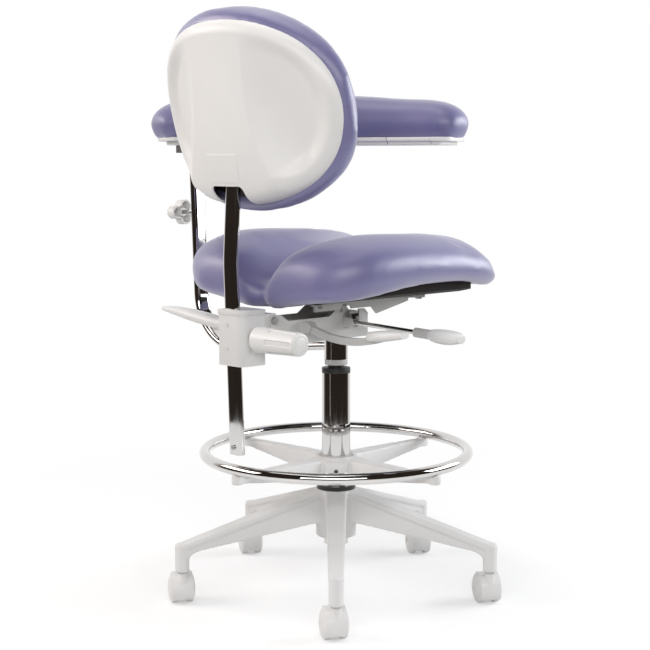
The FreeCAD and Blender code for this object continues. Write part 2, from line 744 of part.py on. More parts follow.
def lever_bracket(side, y, z):
    half = LEVER_BARREL_LENGTH / 2 + PART_GAP
    inner = MECH_HALF_WIDTH - MECH_WALL / 2
    tall = LEVER_BARREL_DIA / 2 + LEVER_EAR_MARGIN
    pieces = []
    for edge in (-half - LEVER_EAR, half):
        ear = block(inner, LEVER_PIVOT_X, y + edge, y + edge + LEVER_EAR, z - tall, z + tall)
        start = Vector(LEVER_PIVOT_X, y + edge, z)
        pieces.append(ear.fuse(cylinder(2 * tall, start, ALONG_Y, LEVER_EAR)))
    pin_start = Vector(LEVER_PIVOT_X, y - half - LEVER_EAR, z)
    pieces.append(cylinder(LEVER_PIN_DIA, pin_start, ALONG_Y, 2 * (half + LEVER_EAR)))
    bracket = pieces[0].multiFuse(pieces[1:])
    if side < 0:
        bracket = bracket.mirror(ORIGIN, ALONG_X)
    return bracket


def mechanism_housing():
    left = side_wall()
    right = left.mirror(ORIGIN, ALONG_X)
    inner = MECH_HALF_WIDTH - MECH_WALL
    floor = block(-inner, inner, MECH_FRONT, MECH_REAR - MECH_TAIL, MECH_BOTTOM, MECH_BOTTOM + MECH_WALL)
    front = block(-inner, inner, MECH_FRONT, MECH_FRONT + MECH_WALL, MECH_BOTTOM, MECH_SHOULDER - HINGE_EDGE)
    socket = upright(SOCKET_DIA, cylinder_shoulder(), SOCKET_TOP)
    brackets = [
        lever_bracket(-1, LIFT_LEVER_Y, LIFT_LEVER_Z),
        lever_bracket(-1, TILT_LEVER_Y, TILT_LEVER_Z),
        lever_bracket(1, BACK_LEVER_Y, BACK_LEVER_Z),
    ]
    body = left.multiFuse([right, floor, front, socket] + brackets)
    clear = LEVER_BARREL_LENGTH / 2 + FINGER_WIDTH / 2
    finger_low = release_pin_top() - 2 * FINGER_THICKNESS
    notch = block(
        -MECH_HALF_WIDTH - OVERCUT,
        -inner + OVERCUT,
        -clear,
        LIFT_LEVER_Y + FINGER_ROOM,
        finger_low,
        MECH_SHOULDER + OVERCUT,
    )
    top_bore = upright(CYLINDER_DIA, CYLINDER_TOP, SOCKET_TOP)
    cuts = [notch, cylinder_nose(SEAT_FIT), top_bore]
    for y, z in ((SEAT_PIVOT_Y, SEAT_PIVOT_Z), (BACK_PIVOT_Y, BACK_PIVOT_Z)):
        start = Vector(-2 * MECH_HALF_WIDTH, y, z)
        cuts.append(cylinder(HINGE_PIN_DIA + 2 * SEAT_FIT, start, ALONG_X, 4 * MECH_HALF_WIDTH))
    return body.cut(Part.Compound(cuts))


def hinge_pins():
    pins = []
    for y, z in ((SEAT_PIVOT_Y, SEAT_PIVOT_Z), (BACK_PIVOT_Y, BACK_PIVOT_Z)):
        start = Vector(-MECH_HALF_WIDTH - HINGE_HEAD, y, z)
        shaft = cylinder(HINGE_PIN_DIA, start, ALONG_X, 2 * (MECH_HALF_WIDTH + HINGE_HEAD))
        right_head = cylinder(HINGE_HEAD_DIA, start, ALONG_X, HINGE_HEAD)
        left_head = cylinder(HINGE_HEAD_DIA, Vector(MECH_HALF_WIDTH, y, z), ALONG_X, HINGE_HEAD)
        pins.append(shaft.multiFuse([right_head, left_head]))
    return Part.Compound(pins)


def shaft_collar():
    top = SHAFT_COLLAR_BOTTOM + SHAFT_COLLAR_HEIGHT
    ring = upright(SHAFT_COLLAR_DIA, SHAFT_COLLAR_BOTTOM, top)
    return ring.cut(upright(CYLINDER_DIA + 2 * SEAT_FIT, SHAFT_COLLAR_BOTTOM, top))


# Hand levers, drawn on the right (-X) side unless mirrored
def lever_barrel(y, z):
    start = Vector(-LEVER_PIVOT_X, y - LEVER_BARREL_LENGTH / 2, z)
    return cylinder(LEVER_BARREL_DIA, start, ALONG_Y, LEVER_BARREL_LENGTH)


def lever_pin_hole(y, z):
    start = Vector(-LEVER_PIVOT_X, y - LEVER_BARREL_LENGTH, z)
    return cylinder(LEVER_PIN_DIA + 2 * RUN_FIT, start, ALONG_Y, 2 * LEVER_BARREL_LENGTH)


def paddle(stations, y):
    wires = []
    for reach, low, high, width in stations:
        centre = Vector(-reach, y, (low + high) / 2)
        wires.append(flat_oval(width, high - low, centre, ALONG_Y, UP))
    return Part.makeLoft(wires, True, False)


def lift_rod_z(reach):
    share = (reach - LEVER_PIVOT_X) / (LIFT_ROD_END_X - LEVER_PIVOT_X)
    return LIFT_LEVER_Z - LIFT_ROD_FALL * share


def along_lift_rod(dia, near, far):
    start = Vector(-near, LIFT_LEVER_Y, lift_rod_z(near))
    end = Vector(-far, LIFT_LEVER_Y, lift_rod_z(far))
    return cylinder(dia, start, end - start, (end - start).Length)


def lift_lever_rod():
    rod = along_lift_rod(LIFT_ROD_DIA, LEVER_PIVOT_X, LIFT_ROD_END_X)
    low = release_pin_top() + PART_GAP
    high = low + FINGER_THICKNESS
    pivot = LEVER_PIVOT_X
    radius = LEVER_BARREL_DIA / 2
    outline = [
        (-pivot - radius, LIFT_LEVER_Z),
        (-pivot + radius, LIFT_LEVER_Z),
        (-pivot + radius + FINGER_CRANK, low),
        (FINGER_REACH, low),
        (FINGER_REACH, high),
        (-pivot + radius, high),
    ]
    near_edge = LIFT_LEVER_Y + LEVER_BARREL_LENGTH / 2 - FINGER_SET_BACK - FINGER_WIDTH
    finger = prism([Vector(x, near_edge, z) for x, z in outline], ALONG_Y * FINGER_WIDTH)
    side_gap = LEVER_BARREL_LENGTH / 2 + PART_GAP
    tall = LEVER_BARREL_DIA / 2 + LEVER_EAR_MARGIN + LEVER_SWING_ROOM
    ear_room = block(
        -pivot - tall,
        -MECH_HALF_WIDTH + MECH_WALL,
        LIFT_LEVER_Y - LEVER_BARREL_LENGTH - FINGER_WIDTH,
        LIFT_LEVER_Y - LEVER_BARREL_LENGTH / 2,
        LIFT_LEVER_Z - tall,
        LIFT_LEVER_Z + tall,
    )
    body = lever_barrel(LIFT_LEVER_Y, LIFT_LEVER_Z).multiFuse([rod, finger.cut(ear_room)])
    keep = block(-LIFT_ROD_END_X, pivot, near_edge, LIFT_LEVER_Y + side_gap, MECH_BOTTOM, SEAT_PIVOT_Z)
    return body.common(keep).cut(lever_pin_hole(LIFT_LEVER_Y, LIFT_LEVER_Z))


def lift_lever_sleeve():
    sleeve = along_lift_rod(LIFT_SLEEVE_DIA, LIFT_SLEEVE_START, LIFT_PADDLE_START - PART_GAP)
    return sleeve.cut(along_lift_rod(LIFT_ROD_DIA + 2 * SEAT_FIT, LEVER_PIVOT_X, LIFT_PADDLE_END))


def lift_lever_paddle():
    deep = LIFT_PADDLE_DEPTH
    span = LIFT_PADDLE_END - LIFT_PADDLE_START
    shares = ((0.0, 0.74, 0.48), (0.28, 0.98, 0.84), (0.62, 0.96, 1.0), (0.88, 0.74, 0.86), (1.0, 0.42, 0.5))
    stations = []
    for share, depth_share, width_share in shares:
        reach = LIFT_PADDLE_START + share * span
        z = lift_rod_z(reach)
        half = deep * depth_share / 2
        stations.append((reach, z - half, z + half, LIFT_PADDLE_WIDTH * width_share))
    body = paddle(stations, LIFT_LEVER_Y)
    hole = along_lift_rod(LIFT_ROD_DIA + 2 * SEAT_FIT, LEVER_PIVOT_X, LIFT_ROD_END_X + SEAT_FIT)
    return body.cut(hole)


def tilt_lever_arm():
    half = TILT_ARM_DEPTH / 2
    lowest = TILT_LEVER_Z - TILT_ARM_SAG
    end = TILT_LEVER_Z + TILT_ARM_END_RISE
    y = TILT_LEVER_Y - TILT_ARM_WIDTH / 2

    def bar_edge(offset):
        first = Vector(-LEVER_PIVOT_X, y, TILT_LEVER_Z + offset)
        middle = Vector(-TILT_ARM_LOW_X, y, lowest + offset)
        last = Vector(-TILT_ARM_END_X, y, end + offset)
        return first, middle, last

    upper = bar_edge(half)
    lower = bar_edge(-half)
    edges = [
        Part.Arc(*upper).toShape(),
        Part.LineSegment(upper[2], lower[2]).toShape(),
        Part.Arc(lower[2], lower[1], lower[0]).toShape(),
        Part.LineSegment(lower[0], upper[0]).toShape(),
    ]
    bar = Part.Face(Part.Wire(edges)).extrude(ALONG_Y * TILT_ARM_WIDTH)
    wide = 2 * TILT_ARM_WIDTH
    near = LEVER_PIVOT_X + LEVER_BARREL_DIA
    gap = LEVER_BARREL_LENGTH / 2
    sides = [
        block(-near, 0, TILT_LEVER_Y + gap, TILT_LEVER_Y + wide, MECH_BOTTOM, SEAT_PIVOT_Z),
        block(-near, 0, TILT_LEVER_Y - wide, TILT_LEVER_Y - gap, MECH_BOTTOM, SEAT_PIVOT_Z),
    ]
    body = bar.cut(Part.Compound(sides)).fuse(lever_barrel(TILT_LEVER_Y, TILT_LEVER_Z))
    return body.cut(lever_pin_hole(TILT_LEVER_Y, TILT_LEVER_Z))


def tilt_lever_paddle():
    span = TILT_PADDLE_END - TILT_PADDLE_START
    start = TILT_LEVER_Z - TILT_PADDLE_START_SINK
    shares = ((0.0, 0.88, 0.6), (0.3, 1.0, 1.0), (0.7, 0.86, 1.0), (1.0, 0.5, 0.55))
    stations = []
    for share, depth_share, width_share in shares:
        z = start + (TILT_LEVER_Z + TILT_PADDLE_RISE - start) * share
        half = TILT_PADDLE_DEPTH * depth_share / 2
        reach = TILT_PADDLE_START + share * span
        stations.append((reach, z - half, z + half, TILT_PADDLE_WIDTH * width_share))
    return paddle(stations, TILT_LEVER_Y).cut(tilt_lever_arm())


def back_arm_bar():
    half = BACK_ARM_DEPTH / 2
    low = BACK_LEVER_Z - half
    y = BACK_LEVER_Y - LEVER_BARREL_LENGTH / 2
    return block(-BACK_ARM_END_X, -LEVER_PIVOT_X, y, y + LEVER_BARREL_LENGTH, low, low + BACK_ARM_DEPTH)


def back_lever_arm():
    body = back_arm_bar().fuse(lever_barrel(BACK_LEVER_Y, BACK_LEVER_Z))
    body = body.cut(lever_pin_hole(BACK_LEVER_Y, BACK_LEVER_Z))
    return body.mirror(ORIGIN, ALONG_X)


def back_lever_paddle():
    span = BACK_PADDLE_END - BACK_PADDLE_START
    shares = ((0.0, 1.0, 0.0, 0.7), (0.3, 0.95, 0.12, 0.9), (0.65, 0.75, 0.62, 1.0), (1.0, 0.0, 1.0, 0.5))
    stations = []
    for share, depth_share, rise_share, width_share in shares:
        z = BACK_LEVER_Z + BACK_PADDLE_RISE * rise_share
        half = (BACK_PADDLE_TIP + (BACK_PADDLE_DEPTH - BACK_PADDLE_TIP) * depth_share) / 2
        reach = BACK_PADDLE_START + share * span
        stations.append((reach, z - half, z + half, BACK_PADDLE_WIDTH * width_share))
    body = paddle(stations, BACK_LEVER_Y).cut(back_arm_bar())
    return body.mirror(ORIGIN, ALONG_X)


# Back carrier and post
def post_corners():
    foot = Vector(0, POST_FOOT_Y, POST_FOOT_Z)
    bend = Vector(0, POST_BEND_Y, POST_BEND_Z)
    head = Vector(0, POST_HEAD_Y, POST_HEAD_Z)
    return foot, bend, head


def post_axis():
    foot, bend = post_corners()[:2]
    return (bend - foot).normalize()


def post_point(z):
    foot = post_corners()[0]
    axis = post_axis()
    return foot + axis * ((z - foot.z) / axis.z)


def post_solid(width, thickness):
    foot, bend, head = post_corners()
    rear = post_axis().cross(ALONG_X)
    section = flat_oval(width, thickness, foot, ALONG_X, rear)
    return swept(bent_path(foot, bend, head, POST_BEND_RADIUS), section)


def post_room(gap):
    start = post_point(BLOCK_BOTTOM - 4 * LID_HEIGHT)
    end = post_point(BLOCK_TOP + 4 * LID_HEIGHT)
    rear = post_axis().cross(ALONG_X)
    section = flat_oval(POST_WIDTH + 2 * gap, POST_THICKNESS + 2 * gap, start, ALONG_X, rear)
    return Part.Face(section).extrude(end - start)


def back_block():
    body = block(BLOCK_RIGHT, BLOCK_LEFT, BLOCK_FRONT, BLOCK_REAR, BLOCK_BOTTOM, BLOCK_TOP)
    corner = [
        e for e in body.Edges
        if e.CenterOfMass.y > BLOCK_REAR - OVERCUT and e.CenterOfMass.x < BLOCK_RIGHT + OVERCUT
    ]
    body = body.makeFillet(BLOCK_ROUND, corner)
    reach = MECH_HALF_WIDTH - MECH_WALL - PART_GAP
    low = BACK_PIVOT_Z - TONGUE_DEPTH / 2
    front = BACK_PIVOT_Y - HINGE_EDGE
    tongue = block(-reach, reach, front, BLOCK_FRONT, low, low + TONGUE_DEPTH)
    pad = block(-reach, reach, MECH_REAR + 3 * PART_GAP, BLOCK_FRONT + BLOCK_ROUND, low, low + TONGUE_DEPTH)
    pin_start = Vector(-MECH_HALF_WIDTH, BACK_PIVOT_Y, BACK_PIVOT_Z)
    pin_hole = cylinder(HINGE_PIN_DIA + 2 * RUN_FIT, pin_start, ALONG_X, 2 * MECH_HALF_WIDTH)
    stud_start = Vector(BLOCK_RIGHT, KNOB_Y, KNOB_Z)
    stud_hole = cylinder(KNOB_STUD_DIA + 2 * RUN_FIT, stud_start, ALONG_X, -BLOCK_RIGHT)
    body = body.multiFuse([tongue, pad])
    return body.cut(Part.Compound([pin_hole, stud_hole])).cut(post_room(PART_GAP))


def block_lid():
    low = BLOCK_TOP
    lid = block(
        BLOCK_RIGHT - LID_LIP, BLOCK_LEFT + LID_LIP, BLOCK_FRONT, BLOCK_REAR + LID_LIP, low, low + LID_HEIGHT
    )
    corner = [
        e for e in lid.Edges
        if e.CenterOfMass.y > BLOCK_REAR and e.CenterOfMass.x < BLOCK_RIGHT
    ]
    lid = lid.makeFillet(BLOCK_ROUND + LID_LIP, corner)
    return lid.cut(post_room(PART_GAP))


def block_rivets():
    heads = []
    for z in (RIVET_UPPER_Z, RIVET_LOWER_Z):
        heads.append(cylinder(RIVET_DIA, Vector(0, BLOCK_REAR, z), ALONG_Y, RIVET_HEAD))
    return Part.Compound(heads)


def stop_screw_place():
    rear = post_axis().cross(ALONG_X)
    centre = post_point(POST_FOOT_Z + STOP_SCREW_RISE)
    if rear.y < 0:
        rear = rear * -1
    return centre + rear * (POST_THICKNESS / 2), rear


def back_post():
    hollow = post_solid(POST_WIDTH - 2 * POST_WALL, POST_THICKNESS - 2 * POST_WALL)
    face, rear = stop_screw_place()
    hole = cylinder(STOP_SHANK_DIA + 2 * SEAT_FIT, face - rear * POST_THICKNESS / 2, rear, POST_THICKNESS)
    return post_solid(POST_WIDTH, POST_THICKNESS).cut(hollow).cut(hole)


def post_stop_screw():
    face, rear = stop_screw_place()
    head = cylinder(STOP_HEAD_DIA, face, rear, STOP_HEAD)
    shank = cylinder(STOP_SHANK_DIA, face - rear * 2 * POST_WALL, rear, 2 * POST_WALL)
    return head.fuse(shank)


def stud_tip():
    return -POST_WIDTH / 2 - PART_GAP


def grip_start():
    return BLOCK_RIGHT - PART_GAP - KNOB_NUT_LENGTH


def back_knob_stud():
    tip = Vector(stud_tip(), KNOB_Y, KNOB_Z)
    length = stud_tip() - grip_start() + KNOB_STUD_IN_GRIP
    stud = cylinder(KNOB_STUD_DIA, tip, ALONG_X * -1, length)
    corners = []
    for i in range(6):
        angle = math.radians(60 * i)
        radius = KNOB_NUT_WIDTH / math.sqrt(3)
        corner = Vector(grip_start(), KNOB_Y + radius * math.cos(angle), KNOB_Z + radius * math.sin(angle))
        corners.append(corner)
    nut = prism(corners, ALONG_X * KNOB_NUT_LENGTH)
    return stud.fuse(nut)


def back_knob_grip():
    start = Vector(grip_start(), KNOB_Y, KNOB_Z)
    grip = Part.makeCone(KNOB_DIA / 2, KNOB_END_DIA / 2, KNOB_LENGTH, start, ALONG_X * -1)
    grip = grip.makeFillet(KNOB_DIA / 9, [e for e in grip.Edges if e.Curve.TypeId == "Part::GeomCircle"])
    slope = (KNOB_DIA - KNOB_END_DIA) / 2 / KNOB_LENGTH
    flutes = []
    for i in range(KNOB_FLUTES):
        angle = math.radians(360.0 / KNOB_FLUTES * i)
        away = Vector(0, math.cos(angle), math.sin(angle))
        radius = KNOB_DIA / 2 - slope * KNOB_FLUTE_FROM + KNOB_FLUTE_DIA / 4
        low = start + away * radius - ALONG_X * KNOB_FLUTE_FROM
        flutes.append(cylinder(KNOB_FLUTE_DIA, low, ALONG_X * -1 - away * slope, KNOB_FLUTE_LENGTH))
    hole = cylinder(KNOB_STUD_DIA + 2 * SEAT_FIT, start, ALONG_X * -1, KNOB_STUD_IN_GRIP + SEAT_FIT)
    return grip.cut(Part.Compound(flutes + [hole]))


# Backrest
def back_point(x, height, depth):
    lean = math.radians(BACK_LEAN)
    wrap = BACK_WRAP * (x / BACK_WRAP_SPAN) ** 2
    y = BACK_CENTRE_Y + height * math.sin(lean) + depth * math.cos(lean) - wrap
    z = BACK_CENTRE_Z + height * math.cos(lean) - depth * math.sin(lean)
    return Vector(x, y, z)


def back_height_limits(x, outset):
    share = abs(x) / (SHELL_HALF_WIDTH + outset)
    round_off = (1 - share ** BACK_SQUARENESS) ** (1 / BACK_SQUARENESS)
    return -(SHELL_FALL + outset) * round_off, (SHELL_RISE + outset) * round_off


def back_loft(section, outset, shares):
    half = SHELL_HALF_WIDTH + outset
    mirrored = [-share for share in reversed(shares)]
    places = [half * share for share in mirrored + [0.0] + list(shares)]
    return Part.makeLoft([section(x) for x in places], True, False)


def pad_section(x):
    low, high = back_height_limits(x, BACK_PAD_OUTSET)
    tall = high - low
    full_height = SHELL_RISE + SHELL_FALL + 2 * BACK_PAD_OUTSET
    thick = BACK_PAD_THICKNESS * (tall / full_height) ** 0.93
    tuck = min(0.09 * tall, 0.2 * thick)
    edge = min(BACK_PAD_EDGE, 0.5 * thick)
    rear_low = back_point(x, low + tuck, -PART_GAP)
    side_low = back_point(x, low, -edge)
    front_low = back_point(x, low + 0.14 * tall, -0.84 * thick)
    front = back_point(x, (low + high) / 2, -thick)
    front_high = back_point(x, high - 0.14 * tall, -0.84 * thick)
    side_high = back_point(x, high, -edge)
    rear_high = back_point(x, high - tuck, -PART_GAP)
    edges = [
        Part.Arc(rear_low, side_low, front_low).toShape(),
        Part.Arc(front_low, front, front_high).toShape(),
        Part.Arc(front_high, side_high, rear_high).toShape(),
        Part.LineSegment(rear_high, rear_low).toShape(),
    ]
    return Part.Wire(edges)


def back_pad():
    body = back_loft(pad_section, BACK_PAD_OUTSET, (0.35, 0.66, 0.87, 0.975))
    return body.cut(board_solid(PART_GAP, 2 * PART_GAP))


def board_solid(gap, rear):
    outset = gap - BACK_BOARD_INSET

    def section(x):
        low, high = back_height_limits(x, outset)
        front = -BACK_BOARD_THICKNESS - gap
        sides = [(low, rear), (low, front), (high, front), (high, rear)]
        corners = [back_point(x, height, depth) for height, depth in sides]
        return Part.makePolygon(corners + corners[:1])

    return back_loft(section, outset, (0.35, 0.66, 0.87, 0.975))


def back_board():
    return board_solid(0, 0)


def shell_depths(x):
    # Depth near the bottom and half way up, from the spine out across the scoop to the rim band
    flat = SHELL_SPINE_WIDTH / 2
    share = min(1.0, max(0.0, (abs(x) - flat) / SHELL_SPINE_SLOPE))
    ease = share * share * (3 - 2 * share)
    low = SHELL_SPINE_DEPTH + (SHELL_BAND_DEPTH - SHELL_SPINE_DEPTH) * ease
    spine_middle = (SHELL_SPINE_DEPTH + SHELL_BAND_DEPTH) / 2
    middle = spine_middle + (SHELL_SCOOP_DEPTH - spine_middle) * ease
    edge = max(0.0, abs(x) - SHELL_HALF_WIDTH + 3 * SHELL_BAND_WIDTH) / (3 * SHELL_BAND_WIDTH)
    return low, middle + (0.8 * SHELL_BAND_DEPTH - middle) * edge


def shell_section(x, shrink):
    low, high = back_height_limits(x, -shrink)
    tall = high - low
    deep, middle = shell_depths(x)
    band = min(SHELL_BAND_WIDTH, 0.25 * tall)
    spine_share = (deep - SHELL_BAND_DEPTH) / (SHELL_SPINE_DEPTH - SHELL_BAND_DEPTH)
    foot_band = band + (SHELL_SPINE_FOOT - SHELL_BAND_WIDTH) * spine_share
    front = -shrink / 2
    foot = back_point(x, low, front)
    heel = back_point(x, low + 0.22 * foot_band, 0.68 * (deep - shrink))
    lower = back_point(x, low + foot_band, deep - shrink)
    waist = back_point(x, (low + high) / 2, middle - shrink)
    upper = back_point(x, high - band, SHELL_BAND_DEPTH - shrink)
    brow = back_point(x, high - 0.22 * band, 0.68 * (SHELL_BAND_DEPTH - shrink))
    crown = back_point(x, high, front)
    edges = [
        Part.Arc(foot, heel, lower).toShape(),
        Part.Arc(lower, waist, upper).toShape(),
        Part.Arc(upper, brow, crown).toShape(),
        Part.LineSegment(crown, foot).toShape(),
    ]
    return Part.Wire(edges)


def shell_solid(shrink):
    shares = (0.14, 0.27, 0.38, 0.49, 0.60, 0.73, 0.87, 0.975)
    return back_loft(lambda x: shell_section(x, shrink), -shrink, shares)


def back_shell():
    half = SHELL_SLOT_WIDTH / 2
    slot_front = POST_HEAD_Y - POST_THICKNESS
    slot = block(-half, half, slot_front, 2 * BLOCK_REAR, 0, SHELL_SLOT_TOP)
    return shell_solid(0).cut(shell_solid(SHELL_WALL)).cut(slot)


def behind_board():
    reach = 2 * SHELL_HALF_WIDTH
    sides = [(-reach, PART_GAP), (reach, PART_GAP), (reach, reach), (-reach, reach)]
    corners = [back_point(0, height, depth) for height, depth in sides]
    return prism([Vector(-reach, p.y, p.z) for p in corners], ALONG_X * (2 * reach))


def back_bracket():
    half = BRACKET_PLATE_WIDTH / 2
    bottom = -BRACKET_PLATE_FALL
    top = bottom + BRACKET_PLATE_HEIGHT
    rear = PART_GAP + BRACKET_PLATE
    sides = [(bottom, PART_GAP), (top, PART_GAP), (top, rear), (bottom, rear)]
    corners = [back_point(0, height, depth) for height, depth in sides]
    plate = prism([Vector(-half, p.y, p.z) for p in corners], ALONG_X * BRACKET_PLATE_WIDTH)
    cheek_half = POST_WIDTH / 2 + BRACKET_CHEEK
    cheek_front = back_point(0, bottom, 0).y
    cheek_rear = POST_HEAD_Y + POST_THICKNESS / 2 + BRACKET_CHEEK
    cheek_top = POST_HEAD_Z + BRACKET_CHEEK
    receiver = block(-cheek_half, cheek_half, cheek_front, cheek_rear, BRACKET_BOTTOM, cheek_top)
    body = plate.fuse(receiver.common(behind_board()))
    return body.cut(post_solid(POST_WIDTH + 2 * SEAT_FIT, POST_THICKNESS + 2 * SEAT_FIT))


# Seat
def seat_section(y, half, skirt, crest, crest_share, inner_share, inner_drop, dip, sag):
    tall = crest - skirt
    tuck = 0.12 * half
    low = Vector(half - tuck, y, skirt)
    side = Vector(half, y, skirt + 0.42 * tall)
    shoulder = Vector(0.93 * half, y, crest - 0.2 * tall)
    top = Vector(crest_share * half, y, crest)
    inner = Vector(inner_share * half, y, crest - inner_drop)
    middle = Vector(0, y, crest - dip)
    belly = Vector(0, y, BOARD_BOTTOM + BOARD_THICKNESS / 2 - sag)

    def other(point):
        return Vector(-point.x, point.y, point.z)

    edges = [
        Part.Arc(other(low), belly, low).toShape(),
        Part.Arc(low, side, shoulder).toShape(),
        Part.Arc(shoulder, top, inner).toShape(),
        Part.Arc(inner, middle, other(inner)).toShape(),
        Part.Arc(other(inner), other(top), other(shoulder)).toShape(),
        Part.Arc(other(shoulder), other(side), other(low)).toShape(),
    ]
    return Part.Wire(edges)


def seat_body():
    # Front to rear: share of the length, share of the half width, skirt lift, crest drop,
    # crest's share of the half width, inner shoulder's share and drop, dip of the middle, sag below
    stations = (
        (0.00, 0.60, 14, 53, 0.72, 0.50, 1, 2.5, 0),
        (0.04, 0.77, 5, 35, 0.75, 0.50, 2, 5, 0.5),
        (0.14, 0.93, 7, 18, 0.78, 0.50, 4, 10, 0.5),
        (0.30, 0.99, 17, 5, 0.79, 0.48, 6, 16, 0.5),
        (0.46, 1.00, 19, 0, 0.79, 0.46, 8, 22, 1),
        (0.63, 1.00, 14, 0, 0.79, 0.42, 12, 32, 4),
        (0.77, 0.985, 6, 2, 0.76, 0.34, 14, 40, 11),
        (0.89, 0.93, 1, 9, 0.68, 0.26, 16, 48, 16),
        (0.96, 0.81, 0, 25, 0.64, 0.24, 16, 46, 15),
        (1.00, 0.62, 10, 53, 0.62, 0.26, 10, 26, 4),
    )
    wires = []
    for share, wide, lift, drop, *profile in stations:
        y = SEAT_FRONT + share * (SEAT_REAR - SEAT_FRONT)
        half = SEAT_HALF_WIDTH * wide
        wires.append(seat_section(y, half, SEAT_SKIRT + lift, SEAT_CREST - drop, *profile))
    return Part.makeLoft(wires, True, False)


def board_pan(gap, below):
    half = SEAT_HALF_WIDTH - BOARD_INSET + gap
    front = SEAT_FRONT + BOARD_INSET - gap
    rear = SEAT_REAR - BOARD_INSET + gap
    flat = BOARD_FLAT_WIDTH / 2
    low = BOARD_BOTTOM - below
    high = BOARD_BOTTOM + BOARD_THICKNESS + gap
    right_side = [(flat, low), (half, low + BOARD_EDGE_RISE), (half, high + BOARD_EDGE_RISE), (flat, high)]
    left_side = [(-x, z) for x, z in reversed(right_side)]
    pan = prism([Vector(x, front, z) for x, z in right_side + left_side], ALONG_Y * (rear - front))
    room = block(-half, half, front, rear, 0, 2 * high)
    corners = [e for e in room.Edges if abs(e.tangentAt(e.FirstParameter).z) > 0.9]
    return pan.common(room.makeFillet(BOARD_CORNER + gap, corners))


def seat_pad():
    return seat_body().cut(board_pan(PART_GAP, BOARD_THICKNESS))


def screw_places():
    return [(x, y) for x in (-SEAT_SCREW_X, SEAT_SCREW_X) for y in (SEAT_SCREW_FRONT, SEAT_SCREW_REAR)]


def seat_screws():
    screws = []
    plate_low = BOARD_BOTTOM - SEAT_PLATE
    for x, y in screw_places():
        head = upright(SEAT_SCREW_HEAD_DIA, plate_low - SEAT_SCREW_HEAD, plate_low, x, y)
        shank = upright(SEAT_SCREW_DIA, plate_low, BOARD_BOTTOM + SEAT_SCREW_BITE, x, y)
        screws.append(head.fuse(shank))
    return Part.Compound(screws)


def screw_holes():
    low = BOARD_BOTTOM - 2 * SEAT_PLATE
    high = BOARD_BOTTOM + SEAT_SCREW_BITE + SEAT_FIT
    return Part.Compound([upright(SEAT_SCREW_DIA + 2 * SEAT_FIT, low, high, x, y) for x, y in screw_places()])


def seat_board():
    return board_pan(0, 0).cut(screw_holes())


def plate_flanges():
    # Turned-down sides that hide the housing's top, arched over the pivot's heads, with a wing in front
    arch = HINGE_HEAD_DIA
    outline = [
        (FLANGE_REAR, 0),
        (FLANGE_REAR, FLANGE_DEPTH),
        (SEAT_PIVOT_Y + arch, FLANGE_DEPTH),
        (SEAT_PIVOT_Y + 0.6 * arch, FLANGE_ARCH_DEPTH),
        (SEAT_PIVOT_Y - 0.6 * arch, FLANGE_ARCH_DEPTH),
        (SEAT_PIVOT_Y - arch, FLANGE_DEPTH),
        (WING_ROOT + arch, FLANGE_DEPTH),
        (WING_ROOT, WING_ROOT_DEPTH),
        (WING_TIP, WING_TIP_DEPTH),
        (WING_TIP, 0),
    ]
    near = MECH_HALF_WIDTH + HINGE_HEAD + FLANGE_ROOM
    flanges = []
    for x in (near, -near - FLANGE_WALL):
        corners = [Vector(x, y, BOARD_BOTTOM - depth) for y, depth in outline]
        flanges.append(prism(corners, ALONG_X * FLANGE_WALL))
    return flanges


def seat_plate():
    low = BOARD_BOTTOM - SEAT_PLATE
    foot = PLATE_FOOT
    half_outline = [
        (-PLATE_CROTCH_X, PLATE_CROTCH_REAR),
        (-SEAT_SCREW_X + 0.5 * foot, SEAT_SCREW_REAR + 0.9 * foot),
        (-SEAT_SCREW_X - 0.75 * foot, SEAT_SCREW_REAR + 0.5 * foot),
        (-PLATE_WAIST, SEAT_PIVOT_Y),
        (-PLATE_WAIST, PLATE_CROTCH_FRONT / 2),
        (-SEAT_SCREW_X - 0.9 * foot, SEAT_SCREW_FRONT),
        (-SEAT_SCREW_X + 0.25 * foot, SEAT_SCREW_FRONT - foot),
        (-PLATE_CROTCH_X, PLATE_CROTCH_FRONT),
    ]
    points = half_outline + [(-x, y) for x, y in reversed(half_outline)]
    plate = prism([Vector(x, y, low) for x, y in points], UP * SEAT_PLATE)
    outer = MECH_HALF_WIDTH - MECH_WALL - PART_GAP
    ears = []
    for side in (outer - SEAT_EAR, -outer):
        ear = block(
            side,
            side + SEAT_EAR,
            SEAT_PIVOT_Y - 1.6 * HINGE_EDGE,
            SEAT_PIVOT_Y + 1.6 * HINGE_EDGE,
            SEAT_PIVOT_Z,
            BOARD_BOTTOM - SEAT_PLATE,
        )
        knuckle = cylinder(2 * HINGE_EDGE, Vector(side, SEAT_PIVOT_Y, SEAT_PIVOT_Z), ALONG_X, SEAT_EAR)
        ears.append(ear.fuse(knuckle))
    start = Vector(-MECH_HALF_WIDTH, SEAT_PIVOT_Y, SEAT_PIVOT_Z)
    pin_hole = cylinder(HINGE_PIN_DIA + 2 * RUN_FIT, start, ALONG_X, 2 * MECH_HALF_WIDTH)
    return plate.multiFuse(ears + plate_flanges()).cut(Part.Compound([pin_hole, screw_holes()]))


# Body-support arm
def arm_directions():
    droop = math.radians(ARM_DROOP)
    lean = math.radians(ARM_POST_LEAN)
    run = Vector(math.cos(droop), 0, -math.sin(droop))
    post = Vector(math.sin(lean), 0, math.cos(lean))
    return run, post


def arm_post_point(z):
    post = arm_directions()[1]
    return Vector(ARM_POST_X, 0, ARM_POST_Z) + post * ((z - ARM_POST_Z) / post.z)


